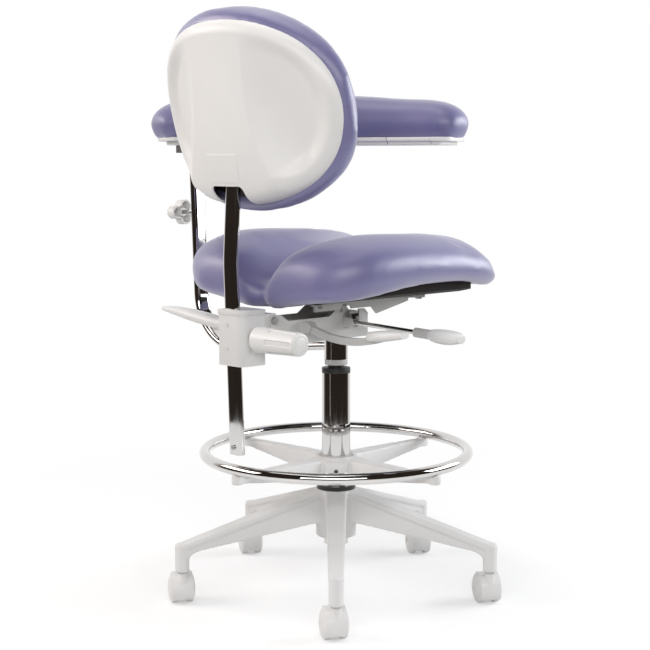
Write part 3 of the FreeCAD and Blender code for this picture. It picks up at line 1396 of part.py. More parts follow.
def arm_corners():
    run, post = arm_directions()
    start = Vector(CYLINDER_DIA / 2, 0, ARM_START_Z)
    foot = Vector(ARM_POST_X, 0, ARM_POST_Z)
    gap = foot - start
    along = (gap.x * post.z - gap.z * post.x) / (run.x * post.z - run.z * post.x)
    return start, start + run * along, arm_post_point(ARM_TUBE_TOP)


def arm_sweep(width, thickness):
    run = arm_directions()[0]
    start, corner, end = arm_corners()
    section = flat_oval(width, thickness, start, ALONG_Y, run.cross(ALONG_Y))
    return swept(bent_path(start, corner, end, ARM_BEND_RADIUS), section)


def arm_collar_bore():
    return upright(CYLINDER_DIA + 2 * RUN_FIT, ARM_COLLAR_BOTTOM, ARM_COLLAR_TOP)


def arm_collar():
    sleeve = upright(ARM_COLLAR_DIA, ARM_COLLAR_BOTTOM, ARM_COLLAR_TOP)
    socket = arm_sweep(ARM_TUBE_WIDTH + 2 * SEAT_FIT, ARM_TUBE_THICKNESS + 2 * SEAT_FIT)
    return sleeve.cut(Part.Compound([arm_collar_bore(), socket]))


def knob_axis():
    post = arm_directions()[1]
    return Vector(post.z, 0, -post.x)


def knob_root():
    return arm_post_point(ARM_KNOB_Z) + knob_axis() * (ARM_TUBE_THICKNESS / 2)


def arm_tube():
    hollow = arm_sweep(ARM_TUBE_WIDTH - 2 * ARM_TUBE_WALL, ARM_TUBE_THICKNESS - 2 * ARM_TUBE_WALL)
    axis = knob_axis()
    inner_face = knob_root() - axis * ARM_TUBE_WALL
    nut = cylinder(ARM_NUT_DIA, inner_face, axis, ARM_NUT_LENGTH + ARM_TUBE_WALL)
    body = arm_sweep(ARM_TUBE_WIDTH, ARM_TUBE_THICKNESS).fuse(nut).cut(hollow)
    screw_hole = cylinder(ARM_SCREW_DIA + 2 * RUN_FIT, inner_face, axis, ARM_KNOB_OFFSET)
    socket_dia = CYLINDER_DIA + 2 * ARM_SOCKET_WALL
    inside = upright(socket_dia, ARM_COLLAR_BOTTOM - ARM_TUBE_WIDTH, ARM_COLLAR_TOP + ARM_TUBE_WIDTH)
    return body.cut(Part.Compound([screw_hole, inside]))


def inner_size():
    width = ARM_TUBE_WIDTH - 2 * ARM_TUBE_WALL - 2 * PART_GAP
    thickness = ARM_TUBE_THICKNESS - 2 * ARM_TUBE_WALL - 2 * PART_GAP
    return width, thickness


def arm_inner_post():
    post = arm_directions()[1]
    width, thickness = inner_size()
    foot = arm_post_point(RAIL_BOTTOM - ARM_INNER_FOOT)
    top = arm_post_point(RAIL_BOTTOM + RAIL_DEPTH)
    section = flat_oval(width, thickness, foot, ALONG_Y, post.cross(ALONG_Y))
    column = Part.Face(section).extrude(top - foot)
    above = block(0, 2 * ARM_POST_X, -RAIL_WIDTH, RAIL_WIDTH, RAIL_BOTTOM, 2 * RAIL_BOTTOM)
    return column.cut(above)


def knob_reach():
    return inner_size()[1] / 2 + PART_GAP


def arm_knob_screw():
    axis = knob_axis()
    tip = arm_post_point(ARM_KNOB_Z) + axis * knob_reach()
    end = ARM_KNOB_OFFSET + ARM_KNOB_DEPTH - ARM_KNOB_WALL - knob_reach()
    return cylinder(ARM_SCREW_DIA, tip, axis, end)


def arm_knob():
    big = ARM_KNOB_DIA / 2
    ring = big - ARM_KNOB_LOBE_DIA / 2
    lobes = []
    insides = []
    for i in range(ARM_KNOB_LOBES):
        angle = math.radians(90 + 360.0 / ARM_KNOB_LOBES * i)
        x, y = ring * math.cos(angle), ring * math.sin(angle)
        lobes.append(upright(ARM_KNOB_LOBE_DIA, 0, ARM_KNOB_DEPTH, x, y))
        room = ARM_KNOB_LOBE_DIA - 2 * ARM_KNOB_WALL
        insides.append(upright(room, 0, ARM_KNOB_DEPTH - ARM_KNOB_WALL, x, y))
    core = upright(2 * ring + ARM_KNOB_WALL, 0, ARM_KNOB_DEPTH)
    body = core.multiFuse(lobes)
    hub = upright(ARM_NUT_DIA, 0, ARM_KNOB_DEPTH - ARM_KNOB_WALL)
    hollow = insides[0].multiFuse(insides[1:] + [upright(2 * ring, 0, ARM_KNOB_DEPTH - ARM_KNOB_WALL)])
    body = body.cut(hollow.cut(hub))
    body = body.cut(upright(ARM_SCREW_DIA + 2 * SEAT_FIT, 0, ARM_KNOB_DEPTH - ARM_KNOB_WALL + SEAT_FIT))
    body.rotate(ORIGIN, ALONG_Y, 90 + ARM_POST_LEAN)
    body.translate(arm_post_point(ARM_KNOB_Z) + knob_axis() * ARM_KNOB_OFFSET)
    return body


def arc_centre():
    return Vector(ARC_CENTRE_X, ARC_CENTRE_Y, 0)


def along_arc(profile, first, last):
    points = [Vector(ARC_CENTRE_X + r, ARC_CENTRE_Y, z) for r, z in profile]
    face = Part.Face(Part.makePolygon(points + points[:1]))
    face.rotate(arc_centre(), UP, first)
    return face.revolve(arc_centre(), UP, last - first)


def rail_radius():
    top = arm_post_point(RAIL_BOTTOM)
    return math.hypot(top.x - ARC_CENTRE_X, top.y - ARC_CENTRE_Y)


def pad_screw_holes():
    low = RAIL_BOTTOM - OVERCUT
    high = RAIL_BOTTOM + RAIL_DEPTH + PAD_SCREW_BITE + SEAT_FIT
    return [upright(PAD_SCREW_DIA + 2 * SEAT_FIT, low, high, *place) for place in pad_screw_places()]


def pad_screw_places():
    places = []
    for angle in PAD_SCREW_ANGLES:
        radians = math.radians(angle)
        x = ARC_CENTRE_X + rail_radius() * math.cos(radians)
        y = ARC_CENTRE_Y + rail_radius() * math.sin(radians)
        places.append((x, y))
    return places


def pad_rail():
    middle = rail_radius()
    half = RAIL_WIDTH / 2
    top = RAIL_BOTTOM + RAIL_DEPTH
    profile = [
        (middle - half, RAIL_BOTTOM),
        (middle + half, RAIL_BOTTOM),
        (middle + half, top),
        (middle - half, top),
    ]
    return along_arc(profile, RAIL_END, RAIL_START).cut(Part.Compound(pad_screw_holes()))


def pad_screws():
    screws = []
    for x, y in pad_screw_places():
        head = upright(PAD_SCREW_HEAD_DIA, RAIL_BOTTOM - PAD_SCREW_HEAD, RAIL_BOTTOM, x, y)
        shank = upright(PAD_SCREW_DIA, RAIL_BOTTOM, RAIL_BOTTOM + RAIL_DEPTH + PAD_SCREW_BITE, x, y)
        screws.append(head.fuse(shank))
    return Part.Compound(screws)


def arm_tray():
    low = RAIL_BOTTOM + RAIL_DEPTH
    step = low + TRAY_STEP
    top = low + TRAY_DEPTH
    half = ARM_PAD_WIDTH / 2
    narrow = half - TRAY_STEP_INSET
    profile = [
        (ARC_RADIUS - narrow, low),
        (ARC_RADIUS + narrow, low),
        (ARC_RADIUS + narrow, step),
        (ARC_RADIUS + half, step),
        (ARC_RADIUS + half, top),
        (ARC_RADIUS - half, top),
        (ARC_RADIUS - half, step),
        (ARC_RADIUS - narrow, step),
    ]
    tray = along_arc(profile, ARC_FRONT_END + TRAY_END_INSET, ARC_REAR_END - TRAY_END_INSET)
    return tray.cut(Part.Compound(pad_screw_holes()))


def arm_pad_section(angle, width_share, height_share):
    low = RAIL_BOTTOM + RAIL_DEPTH + TRAY_DEPTH
    half = ARM_PAD_WIDTH / 2 * width_share
    high = low + ARM_PAD_HEIGHT * height_share
    side = low + 0.42 * (high - low)
    shoulder = low + 0.80 * (high - low)

    def point(offset, z):
        return Vector(ARC_CENTRE_X + ARC_RADIUS + offset, ARC_CENTRE_Y, z)

    foot = 0.9 * half
    edge = 0.86 * half
    edges = [
        Part.LineSegment(point(-foot, low), point(foot, low)).toShape(),
        Part.Arc(point(foot, low), point(half, side), point(edge, shoulder)).toShape(),
        Part.Arc(point(edge, shoulder), point(0, high), point(-edge, shoulder)).toShape(),
        Part.Arc(point(-edge, shoulder), point(-half, side), point(-foot, low)).toShape(),
    ]
    wire = Part.Wire(edges)
    wire.rotate(arc_centre(), UP, angle)
    return wire


def arm_pad():
    span = ARC_REAR_END - ARC_FRONT_END
    stations = (
        (0.0, 0.50, 0.50),
        (0.025, 0.78, 0.72),
        (0.08, 0.95, 0.88),
        (0.25, 1.0, 0.97),
        (0.5, 1.0, 1.0),
        (0.75, 1.0, 0.97),
        (0.92, 0.95, 0.88),
        (0.975, 0.78, 0.72),
        (1.0, 0.50, 0.50),
    )
    wires = [arm_pad_section(ARC_FRONT_END + share * span, wide, high) for share, wide, high in stations]
    return Part.makeLoft(wires, True, False)


def all_pieces():
    makers = (
        star_base, caster_stems, column_tube, base_collar, column_bush, thrust_bearing,
        bottom_clip, piston_rod, gas_cylinder, release_pin,
        footring_ring, footring_spider, footring_bush, footring_screw,
        mechanism_housing, hinge_pins, shaft_collar,
        lift_lever_rod, lift_lever_sleeve, lift_lever_paddle,
        tilt_lever_arm, tilt_lever_paddle, back_lever_arm, back_lever_paddle,
        back_block, block_lid, block_rivets, back_knob_stud, back_knob_grip,
        back_post, post_stop_screw, back_bracket, back_board, back_shell, back_pad,
        seat_plate, seat_board, seat_pad, seat_screws,
        arm_collar, arm_tube, arm_knob_screw, arm_knob,
        arm_inner_post, pad_rail, pad_screws, arm_tray, arm_pad,
    )
    pieces = {maker.__name__: maker() for maker in makers}
    hood = caster_hood()
    wheels = caster_wheels()
    for number, angle in enumerate(leg_angles(), start=1):
        pieces["caster_hood_%d" % number] = at_leg(hood, angle)
        pieces["caster_wheels_%d" % number] = at_leg(wheels, angle)
    return pieces


os.makedirs("parts", exist_ok=True)
for name, shape in all_pieces().items():
    shape.exportStep("parts/%s.step" % name)
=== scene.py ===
import json
import math

import bpy
import numpy
from bpy.props import FloatProperty, FloatVectorProperty, IntProperty, PointerProperty
from bpy.types import Operator, Panel, PropertyGroup
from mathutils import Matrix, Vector


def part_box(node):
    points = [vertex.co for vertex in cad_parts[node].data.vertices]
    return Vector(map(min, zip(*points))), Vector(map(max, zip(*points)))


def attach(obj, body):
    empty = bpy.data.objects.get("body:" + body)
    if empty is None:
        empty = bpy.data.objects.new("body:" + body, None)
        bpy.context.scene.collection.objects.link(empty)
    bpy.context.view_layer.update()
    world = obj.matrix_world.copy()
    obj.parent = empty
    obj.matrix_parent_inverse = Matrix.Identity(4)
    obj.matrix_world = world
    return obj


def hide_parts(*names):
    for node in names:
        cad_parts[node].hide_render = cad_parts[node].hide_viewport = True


bl_info = {
    "name": "Clinic stool with a support arm",
    "version": (1, 0, 0),
    "blender": (4, 5, 0),
    "location": "3D View > Sidebar > Stool",
    "description": "Cushions, mouldings, castings and finishes of a clinic stool",
    "category": "Add Mesh",
}

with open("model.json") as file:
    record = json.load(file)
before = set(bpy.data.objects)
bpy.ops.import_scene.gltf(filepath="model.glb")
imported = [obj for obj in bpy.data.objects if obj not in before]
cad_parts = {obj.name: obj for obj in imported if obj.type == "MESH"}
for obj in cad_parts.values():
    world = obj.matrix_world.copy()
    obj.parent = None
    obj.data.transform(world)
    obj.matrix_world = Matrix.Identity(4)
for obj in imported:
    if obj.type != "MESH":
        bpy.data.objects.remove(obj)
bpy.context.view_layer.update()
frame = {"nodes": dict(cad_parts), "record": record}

CASTER_NUMBERS = range(1, 6)
SOLID_MERGE = 0.00001
GRIP_MERGE = 0.00002
SAME_SIDE = 0.001
RELAX = 0.5
WHITE = (1.0, 1.0, 1.0, 1.0)
BLACK = (0.0, 0.0, 0.0, 1.0)


# Sizes and colours that a user would change

def colour(name, description, value):
    return FloatVectorProperty(
        name=name, description=description, subtype="COLOR", size=3, min=0.0, max=1.0, default=value
    )


def length(name, description, value):
    return FloatProperty(name=name, description=description, default=value, unit="LENGTH", precision=4)


def rotation(name, description, degrees):
    return FloatProperty(name=name, description=description, default=math.radians(degrees), unit="ROTATION")


def watts(name, description, value):
    return FloatProperty(name=name, description=description, default=value, unit="POWER")


def ratio(name, description, value):
    return FloatProperty(name=name, description=description, default=value)


class StoolFinish(PropertyGroup):
    vinyl: colour("Vinyl", "Upholstery of the seat, back and arm", (0.146, 0.137, 0.322))
    shell_white: colour("Shell white", "Moulded cover of the backrest and the arm tray", (0.84, 0.83, 0.81))
    base_white: colour("Base white", "Powder coat on the star base and spokes", (0.77, 0.765, 0.755))
    caster_white: colour("Caster white", "Caster hoods and wheels", (0.78, 0.775, 0.765))
    lever_white: colour("Lever white", "Paddles and the back knob", (0.80, 0.795, 0.78))
    block_grey: colour("Block grey", "Painted back carrier", (0.73, 0.725, 0.71))
    mechanism_grey: colour("Mechanism grey", "Painted tilt mechanism", (0.55, 0.545, 0.53))
    chrome: colour("Chrome", "Plated column, ring, post and arm", (0.66, 0.65, 0.64))
    steel: colour("Steel", "Plain turned steel", (0.46, 0.46, 0.45))
    dark_steel: colour("Dark steel", "Oiled steel", (0.10, 0.095, 0.09))
    black: colour("Black plastic", "Column cap and base collar", (0.018, 0.018, 0.018))
    pan: colour("Pan black", "Stained ply under the seat", (0.016, 0.014, 0.012))
    # Painted shade: the board's ply is made near black so that the slot in the cover looks shaded inside
    painted_shade_ply: colour("Ply", "Board inside the backrest", (0.05, 0.04, 0.03))
    bearing: colour("Bearing plastic", "Bush inside the foot ring's hub", (0.55, 0.54, 0.52))


class StoolCushions(PropertyGroup):
    voxel: length("Voxel", "Grid on which a cushion is remeshed", 0.005)
    seat_inset: length("Seat inset", "How far the seat shrinks before it is filled", 0.002)
    back_inset: length("Back inset", "How far the back shrinks before it is filled", -0.0045)
    arm_inset: length("Arm inset", "How far the arm pad shrinks before it is filled", -0.0055)
    pressure: ratio("Pressure", "Air pressure while a cushion is filled", 4.0)
    frames: IntProperty(name="Frames", description="Length of the filling simulation", default=20)
    seat_swell: length("Seat swell", "Most that the seat's skin may move", 0.007)
    back_swell: length("Back swell", "Most that the back's skin may move", 0.005)
    arm_swell: length("Arm swell", "Most that the arm pad's skin may move", 0.007)
    notch_depth: length("Notch depth", "Depth of the seat's rear notch", 0.062)
    notch_foot: length("Notch foot", "Depth of the notch beside the pan", 0.026)
    notch_width: length("Notch width", "Half width of the seat's rear notch", 0.014)
    groove_depth: length("Groove depth", "Extra dip along the seat's middle at the rear", 0.034)
    groove_width: length("Groove width", "Half width of that dip", 0.030)
    seat_spread: ratio("Seat spread", "How far the seat's skin bulges sideways", 1.032)
    rear_rise: length("Rear rise", "How far the lobes rise towards the rear", 0.006)
    lobe_drop: length("Lobe drop", "How far the seat's rear edge hangs beside the pan", 0.008)
    tuck: length("Tuck", "How far the arm cushion draws in under its edge", 0.009)
    tuck_start: length("Tuck start", "How far under the arm cushion's foot the drawing in starts", 0.004)
    tuck_height: length("Tuck height", "Height over which the arm cushion draws in", 0.026)


class StoolBackCover(PropertyGroup):
    lean: rotation("Lean", "Backward lean of the cover", 13.2)
    centre_y: length("Centre Y", "Widest line of the rim", 0.2395)
    centre_z: length("Centre Z", "Height of the rim's widest line", 0.8425)
    wrap: length("Wrap", "How far the rim comes forward at the wrap span", 0.047)
    wrap_span: length("Wrap span", "Half width at which the wrap is measured", 0.190)
    squareness: ratio("Squareness", "Exponent of the rim's outline", 2.2)
    half_width: length("Half width", "Half the cover's width", 0.2040)
    rise: length("Rise", "Rim above its widest line", 0.137)
    fall: length("Fall", "Rim below its widest line", 0.160)
    wall: length("Wall", "Thickness of the moulding", 0.003)
    rim_depth: length("Rim depth", "Depth of the band inside the rim", 0.0145)
    rim_round: length("Rim round", "Width over which the rim rounds off", 0.020)
    rim_band: length("Rim band", "Width of the band between the rim and a scoop", 0.030)
    scoop_floor: length("Scoop floor", "Depth of the moulding inside a scoop", 0.0032)
    spine_depth: length("Spine depth", "Depth of the spine near the bottom", 0.039)
    spine_waist: length("Spine waist", "Half width of the spine at its narrowest", 0.060)
    spine_flare: length("Spine flare", "How much the spine widens towards the bottom", 0.030)
    spine_slope: length("Spine slope", "Width of the slope from the spine into a scoop", 0.074)
    slot_half: length("Slot half width", "Half width of the slot for the post", 0.038)
    slot_top: length("Slot top", "Top of the slot, from the widest line", -0.121)
    plate_half: length("Plate half width", "Half width of the bare plate above the slot", 0.035)
    plate_top: length("Plate top", "Upper edge of the plate, from the widest line", -0.069)
    plate_bottom: length("Plate bottom", "Lower edge of the plate, from the widest line", -0.116)


class StoolArmTray(PropertyGroup):
    centre_x: length("Arc centre X", "Centre of the arm's arc", -0.071)
    centre_y: length("Arc centre Y", "Centre of the arm's arc", 0.141)
    radius: length("Arc radius", "Middle line of the arm", 0.450)
    front_end: rotation("Front end", "Where the tray ends in front of the sitter", -82.7)
    side_end: rotation("Side end", "Where the tray ends beside the sitter", -7.5)
    first_seam: length("First seam", "First joint between mouldings, from the front end", 0.034)
    second_seam: length("Second seam", "Second joint between mouldings, from the front end", 0.133)
    seam_gap: length("Seam gap", "Width of the joints between the tray's mouldings", 0.0012)
    half_width: length("Half width", "Half the tray's width at its upper step", 0.046)
    foot_half_width: length("Foot half width", "Half the tray's width at its lower step", 0.040)
    step_height: length("Step height", "Height of the lower step", 0.007)
    foot_inset: length("Foot inset", "How far the lower step stands back at the ends", 0.017)
    front_corner: length("Front corner", "Corner radius at the front end", 0.033)
    side_corner: length("Side corner", "Corner radius at the side end", 0.040)
    edge: length("Edge", "Rounding of the tray's edges", 0.0022)


class StoolBackGrip(PropertyGroup):
    base_radius: length("Base radius", "Radius beside the back carrier", 0.0215)
    tip_radius: length("Tip radius", "Radius at the outer end", 0.0186)
    reach: length("Reach", "Length of the grip", 0.0995)
    flutes: IntProperty(name="Flutes", description="Number of flutes round the grip", default=6)
    flute_width: length("Flute width", "Width of a flute", 0.0080)
    flute_depth: length("Flute depth", "Depth of a flute", 0.0019)
    flute_start: length("Flute start", "Where the flutes start, from the base", 0.036)
    flute_end: length("Flute end", "Where the flutes end, from the base", 0.0935)


class StoolStage(PropertyGroup):
    floor_colour: colour("Floor", "Pale studio floor", (0.70, 0.70, 0.70))
    floor_radius: length("Floor radius", "Edge of the floor, where it has faded to white", 1.60)
    fade_start: length("Fade start", "Radius at which the floor starts to fade to white", 0.36)
    floor_glow: ratio("Floor glow", "Light that the floor's middle shows by itself", 0.37)
    ambient: ratio("Ambient", "Light from all round", 0.36)
    left_power: watts("Left", "Power of the left softbox", 30.0)
    right_power: watts("Right", "Power of the right softbox", 42.0)
    front_power: watts("Front", "Power of the front softbox", 30.0)
    top_power: watts("Top", "Power of the softbox overhead", 12.0)


# Selecting, copying and finishing pieces

def clear_selection():
    active = bpy.context.view_layer.objects.active
    if active and active.mode != "OBJECT":
        bpy.ops.object.mode_set(mode="OBJECT")
    for piece in list(bpy.context.selected_objects):
        piece.select_set(False)


def take(piece):
    clear_selection()
    piece.select_set(True)
    bpy.context.view_layer.objects.active = piece
    return piece


def apply_modifier(piece, kind, **settings):
    take(piece)
    modifier = piece.modifiers.new(kind.lower(), kind)
    for key, value in settings.items():
        setattr(modifier, key, value)
    bpy.ops.object.modifier_apply(modifier=modifier.name)


def smooth(piece, degrees=35.0):
    take(piece)
    bpy.ops.object.shade_smooth_by_angle(angle=math.radians(degrees))


def settle(piece, name):
    take(piece)
    bpy.ops.object.transform_apply(location=True, rotation=True, scale=True)
    piece.name = name
    piece.data.name = name
    return piece


def turn_outwards(piece, merge=0.0):
    take(piece)
    bpy.ops.object.mode_set(mode="EDIT")
    bpy.ops.mesh.select_all(action="SELECT")
    if merge:
        bpy.ops.mesh.remove_doubles(threshold=merge)
    bpy.ops.mesh.normals_make_consistent(inside=False)
    bpy.ops.object.mode_set(mode="OBJECT")


def grid(columns, rows):
    clear_selection()
    bpy.ops.mesh.primitive_grid_add(x_subdivisions=columns, y_subdivisions=rows, size=2.0)
    return bpy.context.object


def bevel_edges(piece, chosen, width, segments):
    # Rounds the edges whose two ends pass the test
    bpy.ops.object.mode_set(mode="EDIT")
    bpy.ops.mesh.select_all(action="DESELECT")
    bpy.ops.object.mode_set(mode="OBJECT")
    for edge in piece.data.edges:
        edge.select = chosen(*[piece.data.vertices[i].co for i in edge.vertices])
    bpy.ops.object.mode_set(mode="EDIT")
    bpy.ops.mesh.select_mode(type="EDGE")
    bpy.ops.mesh.bevel(offset=width, segments=segments, affect="EDGES")
    bpy.ops.object.mode_set(mode="OBJECT")


def copy_of_node(node, name):
    # A copy of a solid's mesh, with its loose triangles merged
    piece = bpy.data.objects.new(name, frame["nodes"][node].data.copy())
    bpy.context.scene.collection.objects.link(piece)
    piece.data.name = name
    piece.data.materials.clear()
    turn_outwards(piece, SOLID_MERGE)
    return piece


def flatten_faces(piece, degrees=1.0):
    take(piece)
    bpy.ops.object.mode_set(mode="EDIT")
    bpy.ops.mesh.select_all(action="SELECT")
    bpy.ops.mesh.dissolve_limited(angle_limit=math.radians(degrees))
    bpy.ops.object.mode_set(mode="OBJECT")


def rounded_node(node, name, width, segments=3, degrees=32.0):
    piece = copy_of_node(node, name)
    flatten_faces(piece)
    apply_modifier(
        piece, "BEVEL", width=width, segments=segments, limit_method="ANGLE",
        angle_limit=math.radians(degrees), use_clamp_overlap=True,
    )
    smooth(piece)
    return piece


def cast_node(node, name, voxel, passes):
    # A casting has soft corners inside and out, so the solid is remeshed and relaxed
    piece = copy_of_node(node, name)
    apply_modifier(piece, "REMESH", mode="VOXEL", voxel_size=voxel, use_smooth_shade=True)
    apply_modifier(piece, "SMOOTH", factor=RELAX, iterations=passes)
    smooth(piece, 60.0)
    return piece


def dress(piece, body, slot, *nodes):
    # A slot's finish has the slot's name
    piece.data.materials.clear()
    piece.data.materials.append(FINISHES[slot])
    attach(piece, body)
    if nodes:
        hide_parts(*nodes)
    return piece


def ease(value, low, high):
    share = min(1.0, max(0.0, (value - low) / (high - low)))
    return share * share * (3.0 - 2.0 * share)


# Surface effects, each built once

SCALE_AND_GLOSS = ("Scale", "Gloss low", "Gloss high")
NOISE_LOW, NOISE_HIGH = 0.25, 0.75
STREAK_STRETCH = (1.0, 1.0, 0.06)
GRAIN_STRETCH = (1.0, 0.08, 1.0)
COAT_ROUGHNESS = 0.46


def feed(tree, socket, given):
    if isinstance(given, (float, tuple)):
        socket.default_value = given
    else:
        tree.links.new(given, socket)


def noise(tree, place, scale, detail):
    node = tree.nodes.new("ShaderNodeTexNoise")
    node.inputs["Detail"].default_value = detail
    tree.links.new(place, node.inputs["Vector"])
    feed(tree, node.inputs["Scale"], scale)
    return node.outputs["Fac"]


def remap(tree, value, low, high):
    node = tree.nodes.new("ShaderNodeMapRange")
    node.inputs["From Min"].default_value = NOISE_LOW
    node.inputs["From Max"].default_value = NOISE_HIGH
    tree.links.new(value, node.inputs["Value"])
    feed(tree, node.inputs["To Min"], low)
    feed(tree, node.inputs["To Max"], high)
    return node.outputs["Result"]


def arithmetic(tree, operation, *values):
    node = tree.nodes.new("ShaderNodeMath")
    node.operation = operation
    for socket, given in zip(node.inputs, values):
        feed(tree, socket, given)
    return node.outputs[0]


def blend(tree, share, first, second):
    node = tree.nodes.new("ShaderNodeMix")
    node.data_type = "RGBA"
    feed(tree, node.inputs["Factor"], share)
    feed(tree, node.inputs["A"], first)
    feed(tree, node.inputs["B"], second)
    return node.outputs["Result"]


def stretched(tree, place, stretch):
    node = tree.nodes.new("ShaderNodeMapping")
    node.inputs["Scale"].default_value = stretch
    tree.links.new(place, node.inputs["Vector"])
    return node.outputs["Vector"]


def open_effect(name):
    tree = bpy.data.node_groups.new(name, "ShaderNodeTree")
    tree.interface.new_socket(name="Place", in_out="INPUT", socket_type="NodeSocketVector")
    for label in SCALE_AND_GLOSS:
        tree.interface.new_socket(name=label, in_out="INPUT", socket_type="NodeSocketFloat")
    for label in ("Tone", "Roughness", "Height"):
        tree.interface.new_socket(name=label, in_out="OUTPUT", socket_type="NodeSocketFloat")
    source = tree.nodes.new("NodeGroupInput").outputs
    return tree, source, source["Place"], source["Scale"]


def close_effect(tree, source, tone, wear, height):
    sink = tree.nodes.new("NodeGroupOutput").inputs
    tree.links.new(tone, sink["Tone"])
    tree.links.new(remap(tree, wear, source["Gloss low"], source["Gloss high"]), sink["Roughness"])
    tree.links.new(height, sink["Height"])
    return tree


def skin_effect():
    # Fine texture of a moulding or a paint film, with a slow drift in tone and gloss
    tree, source, place, scale = open_effect("moulded_skin")
    fine = noise(tree, place, scale, 3.0)
    drift = noise(tree, place, 14.0, 4.0)
    patch = noise(tree, place, 46.0, 5.0)
    return close_effect(tree, source, remap(tree, drift, 0.0, 1.0), patch, fine)


def vinyl_effect():
    # Pebbled grain of upholstery vinyl: rounded cells with creases between them, on a slow stretch pattern.
    # The tone is darker in the creases, which is painted shade
    tree, source, place, scale = open_effect("vinyl_grain")
    cells = tree.nodes.new("ShaderNodeTexVoronoi")
    cells.feature = "SMOOTH_F1"
    cells.inputs["Smoothness"].default_value = 0.35
    cells.inputs["Randomness"].default_value = 0.9
    tree.links.new(place, cells.inputs["Vector"])
    tree.links.new(scale, cells.inputs["Scale"])
    pebble_and_crease_shade = arithmetic(tree, "SUBTRACT", 1.0, cells.outputs["Distance"])
    ripple = noise(tree, place, 75.0, 3.0)
    drift = noise(tree, place, 9.0, 4.0)
    height = arithmetic(tree, "ADD", pebble_and_crease_shade, arithmetic(tree, "MULTIPLY", ripple, 1.2))
    # Tone: a slow random drift, times painted shade that darkens the creases between the cells
    tone = arithmetic(tree, "MULTIPLY", remap(tree, drift, 0.35, 1.0), remap(tree, pebble_and_crease_shade, 0.75, 1.0))
    return close_effect(tree, source, tone, ripple, height)


def metal_effect():
    # Plated or turned metal: faint polishing streaks and a little haze
    tree, source, place, scale = open_effect("polish_streaks")
    streaks = noise(tree, stretched(tree, place, STREAK_STRETCH), scale, 4.0)
    haze = noise(tree, place, 22.0, 5.0)
    return close_effect(tree, source, remap(tree, haze, 0.0, 1.0), streaks, streaks)


def wood_effect():
    # Long grain of moulded ply
    tree, source, place, scale = open_effect("ply_grain")
    grain = noise(tree, stretched(tree, place, GRAIN_STRETCH), scale, 6.0)
    return close_effect(tree, source, remap(tree, grain, 0.0, 1.0), grain, grain)


EFFECT_MAKERS = {"skin": skin_effect, "vinyl": vinyl_effect, "metal": metal_effect, "wood": wood_effect}
EFFECTS = {}
FINISHES = {}


def shaded(base, share):
    return tuple(min(1.0, channel * share) for channel in base) + (1.0,)


def make_finish(name, base, kind, values, bump, spread=0.05, metallic=0.0, coat=0.0, sheen=0.0, specular=0.5):
    if kind not in EFFECTS:
        EFFECTS[kind] = EFFECT_MAKERS[kind]()
    material = bpy.data.materials.new(name)
    material.use_nodes = True
    tree = material.node_tree
    shader = tree.nodes["Principled BSDF"]
    place = tree.nodes.new("ShaderNodeTexCoord")
    grain = tree.nodes.new("ShaderNodeGroup")
    grain.node_tree = EFFECTS[kind]
    for label, value in zip(SCALE_AND_GLOSS, values):
        grain.inputs[label].default_value = value
    tree.links.new(place.outputs["Object"], grain.inputs["Place"])
    tint = blend(tree, grain.outputs["Tone"], shaded(base, 1.0 - spread), shaded(base, 1.0 + spread))
    tree.links.new(tint, shader.inputs["Base Color"])
    tree.links.new(grain.outputs["Roughness"], shader.inputs["Roughness"])
    relief = tree.nodes.new("ShaderNodeBump")
    relief.inputs["Strength"].default_value = bump[0]
    relief.inputs["Distance"].default_value = bump[1]
    tree.links.new(grain.outputs["Height"], relief.inputs["Height"])
    tree.links.new(relief.outputs["Normal"], shader.inputs["Normal"])
    for label, value in (
        ("Metallic", metallic), ("Coat Weight", coat), ("Coat Roughness", COAT_ROUGHNESS),
        ("Sheen Weight", sheen), ("Specular IOR Level", specular),
    ):
        shader.inputs[label].default_value = value
    FINISHES[name] = material


def make_finishes(tones):
    # Tone, kind, scale and range of gloss, strength and depth of the relief, and spread of the tone
    make_finish(
        "vinyl", tones.vinyl, "vinyl", (640.0, 0.43, 0.51), (0.22, 0.0004), 0.07,
        coat=1.0, sheen=0.28, specular=1.0,
    )
    for name, tone, values, bump, spread in (
        ("shell_white", tones.shell_white, (1500.0, 0.30, 0.40), (0.05, 0.0002), 0.015),
        ("base_enamel", tones.base_white, (900.0, 0.34, 0.46), (0.10, 0.0003), 0.025),
        ("caster_white", tones.caster_white, (1300.0, 0.30, 0.42), (0.06, 0.0002), 0.03),
        ("lever_white", tones.lever_white, (1300.0, 0.30, 0.42), (0.06, 0.0002), 0.025),
        ("block_grey", tones.block_grey, (800.0, 0.34, 0.48), (0.14, 0.0003), 0.04),
        ("mechanism_grey", tones.mechanism_grey, (700.0, 0.36, 0.52), (0.16, 0.0003), 0.06),
        ("black_plastic", tones.black, (1100.0, 0.36, 0.50), (0.10, 0.0002), 0.10),
        ("bearing_plastic", tones.bearing, (1100.0, 0.38, 0.50), (0.08, 0.0002), 0.04),
    ):
        make_finish(name, tone, "skin", values, bump, spread)
    for name, tone, values, bump, spread in (
        ("chrome", tones.chrome, (240.0, 0.035, 0.075), (0.012, 0.0001), 0.03),
        ("steel", tones.steel, (420.0, 0.24, 0.38), (0.06, 0.0001), 0.05),
        ("dark_steel", tones.dark_steel, (420.0, 0.30, 0.44), (0.06, 0.0001), 0.08),
    ):
        make_finish(name, tone, "metal", values, bump, spread, metallic=1.0)
    make_finish("pan_black", tones.pan, "wood", (80.0, 0.70, 0.85), (0.10, 0.0004), 0.2, specular=0.2)
    # The back board's ply takes the near-black painted shade colour, which darkens the inside of the slot
    make_finish("back_ply", tones.painted_shade_ply, "wood", (80.0, 0.46, 0.62), (0.10, 0.0004), 0.2)


